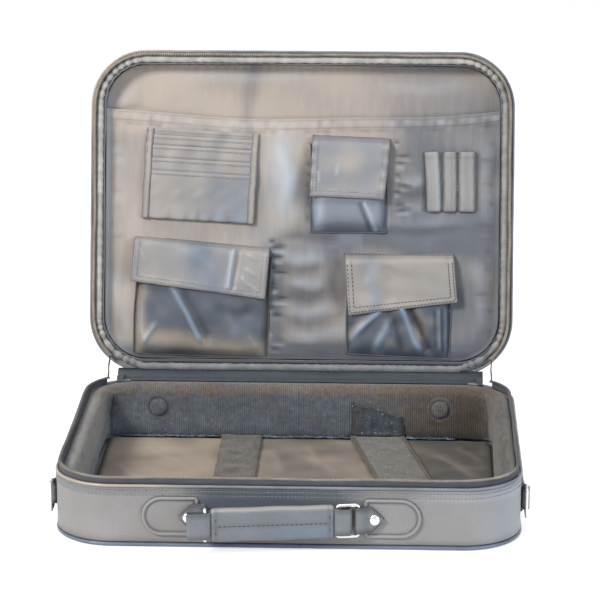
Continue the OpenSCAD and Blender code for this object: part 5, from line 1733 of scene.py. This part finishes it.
def pocket_spot(x0, s0, tilt):
    """Places (across, up, out) of a pocket on the lid's cloth."""
    turn = math.radians(tilt)

    def place(a, b, c):
        x = x0 + a * math.cos(turn) - b * math.sin(turn)
        s = s0 + a * math.sin(turn) + b * math.cos(turn)
        return lid_face(x, s, POCKET_FACE + 0.1 + c)

    return place


def bent(place, warp):
    """A place whose (across, up) is first moved by warp(a, b), the amounts to add."""

    def bend(a, b, c):
        across, up = warp(a, b)
        return place(a + across, b + up, c)

    return bend


def bag(place, node, wide, high, folds, key="pocket"):
    """A pocket's body: its crowned front, side gussets and sewn edges.

    folds(a, b) gives its folds' height, their painted light and shade, and the amount of the second tone.
    """
    a = np.linspace(-1, 1, round(wide / 1.6) + 1)
    b = np.linspace(0, 1, round(high / 1.6) + 1)
    ga, gb = np.meshgrid(a, b, indexing="ij")
    x, y = ga * wide / 2, -MOUTH - high + gb * high
    side, low = wide / 2 * (1 - np.abs(ga)), gb * high
    crown = (1 - np.exp(-((side / 5.5) ** 1.5))) * (1 - np.exp(-((low / 6.0) ** 1.5)))
    height, painted_light_and_wear, second = folds(x, y)
    # Painted shade along the pocket's sewn edges.
    painted_light_and_wear = painted_light_and_wear - 0.75 * bell(np.minimum(side, low) / 1.7) - 0.35 * ease((5 - side) / 3)
    c = 0.6 + (POCKET_DEEP + 3.0 * (1 - gb) - 0.9) * crown + height * crown
    pull = 1.1 * np.sin(gb * math.pi * 3.2 + 1) * (np.abs(ga) > 0.9) * (1 - crown)
    points = place(x - np.sign(ga) * pull * 0.4, y, np.maximum(c, 0.3))
    making = Making()
    making.sheet(points, thick=0.9, u=x, v=y, painted_light_and_wear=(painted_light_and_wear, second))
    piece = making.make(f"{node}_body", "lid", FINISH[key], (node,))
    return Cloth(a * wide / 2, -MOUTH - high + b * high, points)


def flap(place, node, wide, high, folds):
    """A pocket's flap: sewn at its top, rising over the pocket's mouth and hanging down its front."""
    a = np.linspace(-1, 1, round(wide / 1.5) + 1)
    hem_at = high - np.array([3.2, 2.4, 1.6, 0.9, 0.4, 0.0])
    t = np.concatenate([np.linspace(0, 9, 10), np.linspace(10.2, high - 4, round((high - 14) / 1.6)), hem_at])
    ga, gt = np.meshgrid(a, t, indexing="ij")
    x, y = ga * wide / 2, -gt
    rise = POCKET_DEEP + 0.65 + 3.0 * np.clip((gt - MOUTH) / 98, 0, 1)
    climb = 1 - np.exp(-((gt / 4.6) ** 1.7))
    side, below = wide / 2 * (1 - np.abs(ga)), high - gt
    height, painted_light_and_wear, second = folds(x, y)
    rim = np.minimum(side, below)
    # Painted shade along the flap's edges, at its inner stitch row and at its sewn top.
    painted_light_and_wear = painted_light_and_wear - 0.55 * bell(rim / 0.9) - 0.25 * bell((rim - 6.6) / 0.7) - 0.5 * bell(gt / 1.6)
    doubled = np.maximum(0.5 * ease((7.0 - below) / 0.8), 0.45 * ease((6.2 - side) / 0.8))
    roll = 0.9 * bell(side / 1.6) + 0.8 * bell(below / 1.3)
    c = 0.5 + (rise + 0.6) * climb + (height + doubled - roll * 0.55) * (1 - bell(gt / 5.0))
    points = place(x, y, np.maximum(c, 0.5 + (rise - 0.15) * climb))
    making = Making()
    making.sheet(points, thick=0.8, u=x, v=y, flip=True, painted_light_and_wear=(painted_light_and_wear, second))
    piece = making.make(f"{node}_cloth", node, FINISH["satin"], (node,))
    return Cloth(a * wide / 2, -t[::-1], points[:, ::-1])


def flap_seams(node, cloth, wide, high, rows=(2.0, 5.6), thread="inner thread"):
    """Rows of stitches round a flap's free edges, and one along its sewn top."""
    seams = Making()
    w = wide / 2
    lines = [[(row - w, -9), (row - w, row - high), (w - row, row - high), (w - row, -9)] for row in rows]
    for line in lines + [[(2 - w, -1.6), (w - 2, -1.6)]]:
        p, t, n = cloth.line(line, mm("stitch_pitch"))
        seams.stitches(p, t, n, lift=0.1)
    seams.make(f"{node}_stitches", node, FINISH[thread], slot=node)


def bag_cord(node, cloth, wide, high, key="pocket"):
    """The cord round a pocket's sewn edges."""
    w, top, foot = wide / 2 - 0.6, -MOUTH - 2, 0.6 - MOUTH - high
    p, _, n = cloth.line([(-w, top), (-w, foot), (w, foot), (w, top)], 1.5)
    cord = Making()
    cord.tube(p, radius=0.8, sides=7, up=n)
    cord.make(f"{node}_edge_cord", "lid", FINISH[key], slot=node)


class BRIEFCASE_OT_pockets(bpy.types.Operator):
    """The three gathered pockets on the lid and their flaps"""

    bl_idname = "briefcase.pockets"
    bl_label = "Pockets and flaps"

    def execute(self, context):
        self.wide()
        self.charger()
        self.phone()
        return {"FINISHED"}

    def wide(self):
        place = pocket_spot(-99, 127, -4.8)

        def body(a, b):
            big = crease(a, b, [(-32, -42), (-14, -68), (3, -98)], 3.6, 3.4, 0.15, 0.35)
            small = crease(a, b, [(-42, -76), (-57, -100)], 2.4, 2.0, 0.25)
            third = crease(a, b, [(20, -50), (34, -76), (38, -100)], 5, 1.6)
            dip = creases(
                a, b, ([(-22, -44), (-6, -68), (12, -96)], 4.4, 2.4, 0.2), ([(8, -60), (34, -66), (58, -60)], 6, 1.6),
            )
            lit = creases(
                a, b, ([(-62, -52), (-60, -78), (-52, -104)], 3.0, 1.8, 0.2), ([(48, -84), (56, -100)], 2.2, 1.2),
            )
            foot = crease(a, b, [(-50, -103), (0, -101), (54, -101)], 4, 1.4, 0.2)
            z = 0.3 * drift(a, b, 44, 101) + big + small + third + lit - dip + foot
            # Painted light on the body's folds: lighter ridges, darker dips, and painted shade under the flap; warm
            # is a warm painted sheen along the foot and the left gusset.
            painted_light_and_wear = 0.2 * big + 0.2 * small + 0.1 * third + 0.14 * lit - 0.22 * dip - 0.08
            painted_light_and_wear = painted_light_and_wear + 0.08 * drift(a, b, 40, 104) - 0.3 * ease((b + 52) / 8)
            warm = 0.95 * bell((b + 95 + 4 * np.sin(a / 22)) / 9) + 0.75 * bell((a + 60) / 6)
            return z, painted_light_and_wear, np.clip(warm + 0.12 * drift(a, b, 30, 105), 0, 1)

        hung = bent(place, lambda a, b: (4.4 - 0.05 * (b + 9), -(b + 9) / 98 * (0.06 * a - 5)))
        front = bag(hung, "wide_pocket", 132, 98, body)

        def top(a, b):
            blue = crease(a, b, [(33, -3), (31, -24), (30, -46)], 1.9, 2.0, 0.12)
            side = crease(a, b, [(36.8, -3), (35.2, -24), (34.2, -46)], 2.2, 1.5, 0.12)
            rays = creases(a, b, *((line, 1.6, 1.1, 0.35) for line in (
                [(46, -8), (58, -16)], [(44, -22), (60, -30)], [(46, -36), (62, -42)], [(42, -30), (52, -40)],
                [(-64, -12), (-52, -30)],
            )))
            soft = crease(a, b, [(-30, -12), (4, -20), (20, -34)], 6, 1.2)
            z = 0.4 * drift(a, b, 40, 103) + blue - side + rays + 0.6 * soft
            # Painted highlights on the flap's blue crease and rays, and a cool painted sheen over the whole flap,
            # strongest across its middle.
            cool = 0.6 * bell((a + 6 + b * 0.5) / 24) + 0.2 * drift(a, b, 50, 106)
            return z, 0.3 * blue - 0.3 * side + 0.16 * rays + 0.06 * soft, np.clip(cool + 0.28, 0, 1)

        lifted = bent(place, lambda a, b: (
            2.1 - 0.026 * a, ease(-b / 9) * (2.9 + b / 19 - (0.014 - 0.0006 * b) * a),
        ))
        cloth = flap(lifted, "wide_flap", 136, 48, top)
        flap_seams("wide_flap", cloth, 136, 48)
        bag_cord("wide_pocket", front, 132, 98, "binding")

    def charger(self):
        place = pocket_spot(95, 117, 0)

        def body(a, b):
            dark = creases(
                a, b, ([(6, -44), (13, -56), (20, -68), (31, -94)], 3.6, 3.6, 0.12, 0.3),
                ([(-12, -52), (-2, -70), (4, -96)], 4.2, 2.2, 0.2),
                ([(-24, -50), (-44, -66), (-50, -72)], 2.6, 1.8, 0.25),
            )
            ridge = crease(a, b, [(0, -44), (7, -60), (15, -80), (24, -96)], 3.0, 2.8, 0.15)
            fan = creases(
                a, b, ([(-14, -52), (-30, -66), (-51, -86)], 3.2, 2.8, 0.15, -0.3),
                ([(-4, -54), (-14, -76), (-26, -97)], 3.4, 2.0, 0.25),
            )
            knot = crease(a, b, [(27, -90), (33, -97)], 3.4, 2.4, 0.1)
            gusset = creases(
                a, b, ([(39, -48), (41, -92)], 1.8, 1.6, 0.15), ([(46, -48), (47, -92)], 1.6, 1.5, 0.15),
            )
            split = creases(
                a, b, ([(35, -50), (36, -90)], 1.6, 1.4, 0.15), ([(43, -48), (44, -92)], 1.5, 1.3, 0.15),
            )
            z = 0.9 * drift(a, b, 30, 111) - dark + ridge + fan + knot + gusset - split
            # Painted light on the body's folds: lighter ridges, fans, knot and gusset, darker valleys and splits, and
            # painted shade under the flap; warm is a warm painted sheen on two folds.
            painted_light_and_wear = 0.24 * ridge + 0.22 * fan - 0.27 * dark + 0.2 * knot + 0.25 * gusset - 0.4 * split
            painted_light_and_wear = painted_light_and_wear + 0.1 * drift(a, b, 34, 114) - 0.3 * ease((b + 52) / 7)
            warm = creases(
                a, b, ([(10, -46), (20, -66), (28, -84)], 5, 0.9), ([(-30, -62), (-50, -84)], 4, 0.7),
            )
            return z, painted_light_and_wear, np.clip(warm + 0.25 * drift(a, b, 22, 115), 0, 1)

        hung = bent(place, lambda a, b: (0 * a, (b + 9) / 88 * (4.2 + 0.04 * a)))
        front = bag(hung, "charger_pocket", 102, 88, body)

        def top(a, b):
            bend = creases(
                a, b, ([(-22, -6), (-30, -28), (-24, -50)], 6, 1.4, 0.25),
                ([(-8, -8), (-18, -28), (-10, -48)], 6, -1.2, 0.25),
            )
            # A cool painted sheen down the flap's left, and painted light on its bends.
            cool = 0.55 * bell((a + 28 - 4 * np.sin(b / 9)) / 8) + 0.1 * drift(a, b, 40, 116)
            return 0.7 * drift(a, b, 32, 113) + bend, 0.12 * bend, np.clip(cool, 0, 1)

        askew = bent(place, lambda a, b: (-0.08 * b, b / 52 * (1.95 - 0.131 * a)))
        cloth = flap(askew, "charger_flap", 106, 52, top)
        flap_seams("charger_flap", cloth, 106, 52, rows=(2.0, 6.0), thread="dark thread")
        bag_cord("charger_pocket", front, 102, 88)

    def phone(self):
        place = pocket_spot(48, 232, 0)

        def body(a, b):
            fold = crease(a, b, [(13, -60), (19, -72), (27, -90)], 2.4, 2.2, 0.15)
            dark = crease(a, b, [(10, -60), (15, -74), (22, -89)], 2.8, 1.8, 0.15)
            # Painted light: highlights on the fold and the left gusset, painted shade in the dark crease and under
            # the flap, and the darker cool tone along the foot and right edge as painted shade.
            painted_light_and_wear = 0.3 * fold - 0.4 * dark + 0.3 * bell((a + 28) / 5) - 0.3 * ease((b + 66) / 6)
            cool = 0.6 * ease((-70 - b) / 18) + 0.5 * ease((a - 30) / 8)
            return 0.7 * drift(a, b, 34, 121) + fold - dark, painted_light_and_wear, np.clip(cool, 0, 1)

        hung = bent(place, lambda a, b: (-2.6 + 0.045 * a, (b + 9) * 0.085))
        front = bag(hung, "phone_pocket", 72, 80, body, "pocket light")

        def top(a, b):
            pucker = np.sin(b / 2.1) * bell((38 - np.abs(a)) / 6)
            glint = creases(a, b, ([(-11, -26), (-12, -40)], 1.6, 1.0), ([(-31, -34), (-29, -48)], 1.5, 1.0))
            # Painted light on the puckers and glints, and painted shade: a darker cool tone over the whole flap.
            cool = 0.42 + 0.2 * drift(a, b, 44, 124)
            z = 0.5 * drift(a, b, 34, 123) + 0.45 * pucker + 0.4 * glint
            return z, 0.16 * pucker + 0.4 * glint, np.clip(cool, 0, 1)

        askew = bent(place, lambda a, b: (b / 60 * (4.1 + 0.046 * a), -1.3 - 0.04 * a))
        cloth = flap(askew, "phone_flap", 76, 60, top)
        flap_seams("phone_flap", cloth, 76, 60)
        bag_cord("phone_pocket", front, 72, 80)


class BRIEFCASE_OT_organiser(bpy.types.Operator):
    """Card organiser with four stepped slots, and the three pen loops"""

    bl_idname = "briefcase.organiser"
    bl_label = "Organiser"

    def execute(self, context):
        self.cards()
        self.pens()
        return {"FINISHED"}

    def cards(self):
        place = pocket_spot(-102, 147, -3)
        wide, high = 110, 88
        half, step = wide / 2, 0.9
        tops = [high, 81.5, 71.5, 59, 46.5]
        a = np.linspace(-half, half, 72)
        making, edges, seams = Making(), Making(), Making()
        for k, top in enumerate(tops):
            front = k == len(tops) - 1
            lip = top - np.array([4.0, 3.2, 2.6, 2.0, 1.0, 0.4, 0.0])
            b = np.concatenate([np.linspace(0, top - 5, round(top / 2.2)), lip])
            ga, gb = np.meshgrid(a, b, indexing="ij")
            gape = (0.9 if k else 0.2) * ease((gb - top + 9) / 9) * (1 - (ga / half) ** 4)
            gape = gape * (0.75 + 0.4 * np.sin(ga / 9 + k))
            line = 0.3 * bell((gb - top + 3.4) / 0.5)
            c = step * (k + 1) + gape + 0.25 * drift(ga, gb, 20, 131 + k) - 0.55 * bell(gb / 3) - line
            c = c - 0.6 * bell((half - np.abs(ga)) / 2)
            # Painted light: a highlight on each lip, dark stitch lines, painted shade at the foot and a painted
            # shadow in the slot just above each lower lip, highlights on the front layer's gathers; cool is a painted
            # sheen low on the right.
            mark = 0.12 * ease((gb - top + 1.6) / 0.8) - 1.6 * line - 0.5 * bell(gb / 1.4)
            if front:
                c = c + 0.35 * np.abs(np.sin(ga / 3.4 + np.sin(ga / 11))) * bell(gb / 8)
                rays = np.abs(np.sin(ga / 5.3 + np.sin(ga / 13)))
                mark = mark + 0.45 * (rays - 0.55) * bell(gb / (6 + 6 * np.cos(ga / 7) ** 2))
            else:
                mark = mark - 0.45 * bell((gb - tops[k + 1] - 0.6) / 1.1) + 0.07 * np.sin(ga / 4.1 + k)
            cool = 0.6 * ease((ga + 20) / 50) * ease((58 - gb) / 26) + 0.15 * drift(ga, gb, 40, 137) + 0.1
            points = place(ga, gb, c)
            making.sheet(points, thick=0.6, u=a, v=b, painted_light_and_wear=(mark, np.clip(cool, 0, 1)))
            if k:
                p, t, n = Cloth(a, b, points).line([(8 - half, top - 3.2), (half - 8, top - 3.2)], 3.0)
                seams.stitches(p, t, n, lift=0.05)
        piece = making.make("card_organiser_cloth", "lid", FINISH["satin"], ("card_organiser",))
        ends = [0] + [at for top in tops[:0:-1] for at in (top, top + 1)] + [high]
        b = np.linspace(0, high, 50)
        level = np.interp(b, ends, [4.6, 4.5, 3.7, 3.6, 2.8, 2.7, 1.9, 1.8, 1.2, 1.1]) + 0.3
        at = np.arange(1.5, high, 3.0)
        over = np.interp(at, b, level) + 0.5
        for middle in (3.4 - half, half - 3.4):
            x = middle + 0.25 * np.sin(b / 6)
            line = place(x, b, level)
            normal, side = place(x, b, level + 1) - line, place(x + 1, b, level) - line
            ribbon(edges, line, normal, side, half=3.6, thick=0.9, rim=-0.7)
            for off in (-1.9, 1.9):
                x = middle + off + 0 * at
                p = place(x, at, over)
                seams.stitches(p, place(x, at + 1, over) - p, place(x, at, over + 1) - p)
        edges.make("card_organiser_bindings", "lid", FINISH["satin"], slot="card_organiser")
        seams.make("card_organiser_stitches", "lid", FINISH["inner thread"], slot="card_organiser")

    def pens(self):
        making, seams = Making(), Making()
        a, b = np.linspace(-1, 1, 23), np.linspace(0, 58, 34)
        ga, gb = np.meshgrid(a, b, indexing="ij")
        for i, x0, half in ((-1, 129, 7.7), (0, 144, 6.9), (1, 160.5, 8.4)):
            left = i < 0
            place = pocket_spot(x0, 158, 3 if left else 0)
            gather = 1 - 0.12 * bell(gb / 4) + 0.05 * np.sin(gb / 9 + i)
            c = 0.4 + 4.6 * (1 - np.abs(ga) ** 3.2) ** 0.8 * gather
            c = c + 0.3 * np.sin(gb / 2.4 + i) * bell((np.abs(ga) - 0.8) / 0.15) + 0.35 * ease((gb - 52) / 0.8)
            points = place(ga * half + 0.3 * np.sin(gb / 11 + i), gb, c)
            # Painted shade at the loops' sides, top and foot, a painted highlight on the left loop and a dark stripe
            # on the others, and a cool painted sheen on their left halves.
            mark = -0.85 * bell((1 - np.abs(ga)) / 0.09) - 0.5 * bell((gb - 52) / 0.7) - 0.4 * bell(gb / 1.4)
            mark = mark + bell((ga - 0.25 + 0.25 * i) / 0.3) * (0.25 if left else -0.2)
            making.sheet(points, thick=0.8, u=a * 11, v=b, painted_light_and_wear=(mark, 0.25 + 0.25 * (ga < -0.2)))
            cloth = Cloth(a, b, points)
            for side in (-0.97, 0.97):
                p, t, n = cloth.line([(side, 2), (side, 56)], 3.0)
                seams.stitches(p, t, n, finish=1 if left and side < 0 else 0, lift=0.1)
        piece = making.make("pen_loops_cloth", "lid", FINISH["satin"], ("pen_loops",))
        seams.make("pen_loops_stitches", "lid", [FINISH["inner thread"], FINISH["binding"]], slot="pen_loops")


# Stage

FLOOR_CORNERS = [(-6, -6, -0.0003), (6, -6, -0.0003), (6, 8, -0.0003), (-6, 8, -0.0003)]
# Each lamp: name, place, what it points at, size, power and colour.
LAMPS = [
    ("key_light", (-1.6, -1.7, 1.9), (0, 0.05, 0.15), 0.8, 66, (1.0, 0.96, 0.91)),
    ("fill_light", (1.9, -1.3, 0.9), (0, 0, 0.1), 1.1, 17, (0.74, 0.87, 1.0)),
    ("top_light", (0.1, 0.2, 2.2), (0, 0, 0.1), 1.2, 12, (1.0, 0.99, 0.97)),
]
CAMERA_AT, YAW, PITCH = (0.098, -2.390, 0.840), math.radians(-2.20), math.radians(15.41)
SENSOR, LENS = 36, 164.64


def surface(holder, kind):
    """Clears a material's or world's nodes for new ones and gives the wiring and its output's surface."""
    holder.use_nodes = True
    holder.node_tree.nodes.clear()
    w = Wiring(holder.node_tree)
    return w, w.node(kind).inputs["Surface"]


def seen(w):
    """1 for rays from the camera, also by a reflection or through glass, and 0 for light."""
    path = w.node("ShaderNodeLightPath").outputs
    bounced = w.math("MAXIMUM", path["Is Glossy Ray"], path["Is Transmission Ray"])
    return w.math("MAXIMUM", path["Is Camera Ray"], bounced)


class BRIEFCASE_OT_stage(bpy.types.Operator):
    """Pale floor, plain soft light and the camera at the photograph's angle"""

    bl_idname = "briefcase.stage"
    bl_label = "Stage"

    def execute(self, context):
        scene = context.scene
        scene.view_settings.view_transform = "Standard"
        mesh = bpy.data.meshes.new("studio_floor")
        mesh.from_pydata(FLOOR_CORNERS, [], [(0, 1, 2, 3)])
        ground = bpy.data.objects.new("studio_floor", mesh)
        scene.collection.objects.link(ground)
        made = bpy.data.materials.new("Studio floor")
        w, out = surface(made, "ShaderNodeOutputMaterial")
        plain, glow = w.node("ShaderNodeBsdfDiffuse"), w.node("ShaderNodeEmission")
        w.feed(plain.inputs["Color"], (0.8, 0.8, 0.8))
        w.feed(glow.inputs["Strength"], w.times(seen(w), 0.62))
        both = w.node("ShaderNodeAddShader")
        w.feed(both.inputs[0], plain.outputs[0])
        w.feed(both.inputs[1], glow.outputs[0])
        w.feed(out, both.outputs[0])
        mesh.materials.append(made)
        scene.world = bpy.data.worlds.new("Studio world")
        w, out = surface(scene.world, "ShaderNodeOutputWorld")
        sky = w.node("ShaderNodeBackground")
        w.feed(sky.inputs["Color"], w.blend(seen(w), (0.34, 0.35, 0.38), (1, 1, 1)))
        w.feed(out, sky.outputs[0])
        for name, place, aim, size, power, colour in LAMPS:
            lamp = bpy.data.lights.new(name, "AREA")
            lamp.shape, lamp.size, lamp.energy, lamp.color = "DISK", size, power, colour
            self.hang(lamp, place, Vector(aim) - Vector(place))
        camera = bpy.data.cameras.new("photo_camera")
        camera.sensor_width, camera.lens = SENSOR, LENS
        camera.clip_start, camera.clip_end = 0.05, 50
        look = (math.sin(YAW) * math.cos(PITCH), math.cos(YAW) * math.cos(PITCH), -math.sin(PITCH))
        scene.camera = self.hang(camera, CAMERA_AT, Vector(look))
        return {"FINISHED"}

    def hang(self, data, place, look):
        """An object for a lamp or a camera at a place, turned to look along a direction."""
        holder = bpy.data.objects.new(data.name, data)
        bpy.context.scene.collection.objects.link(holder)
        holder.location = place
        holder.rotation_mode = "QUATERNION"
        holder.rotation_quaternion = look.to_track_quat("-Z", "Y")
        return holder


STEPS = [
    BRIEFCASE_OT_base_cover, BRIEFCASE_OT_base_quilt, BRIEFCASE_OT_base_floor, BRIEFCASE_OT_straps,
    BRIEFCASE_OT_lid_cover, BRIEFCASE_OT_lid_lining, BRIEFCASE_OT_organiser, BRIEFCASE_OT_pockets,
    BRIEFCASE_OT_zips, BRIEFCASE_OT_hinge, BRIEFCASE_OT_handle, BRIEFCASE_OT_shoulder_rings, BRIEFCASE_OT_stage,
]


class BRIEFCASE_PT_panel(bpy.types.Panel):
    """Lists the briefcase's sizes, colours and steps"""

    bl_idname = "BRIEFCASE_PT_panel"
    bl_label = "Laptop briefcase"
    bl_space_type = "VIEW_3D"
    bl_region_type = "UI"
    bl_category = "Briefcase"

    def draw(self, context):
        layout = self.layout
        for holder in (context.scene.briefcase_sizes, context.scene.briefcase_colours):
            box = layout.box()
            for name in holder.__annotations__:
                box.prop(holder, name)
        for step in STEPS:
            layout.operator(step.bl_idname)


CLASSES = [BriefcaseSizes, BriefcaseColours, *STEPS, BRIEFCASE_PT_panel]


def register():
    for made in CLASSES:
        bpy.utils.register_class(made)
    bpy.types.Scene.briefcase_sizes = bpy.props.PointerProperty(type=BriefcaseSizes)
    bpy.types.Scene.briefcase_colours = bpy.props.PointerProperty(type=BriefcaseColours)


def unregister():
    del bpy.types.Scene.briefcase_colours
    del bpy.types.Scene.briefcase_sizes
    for made in reversed(CLASSES):
        bpy.utils.unregister_class(made)


def main():
    register()
    build_groups()
    build_finishes()
    for step in STEPS:
        group_name, name = step.bl_idname.split(".")
        getattr(getattr(bpy.ops, group_name), name)()


if __name__ == "__main__":
    main()
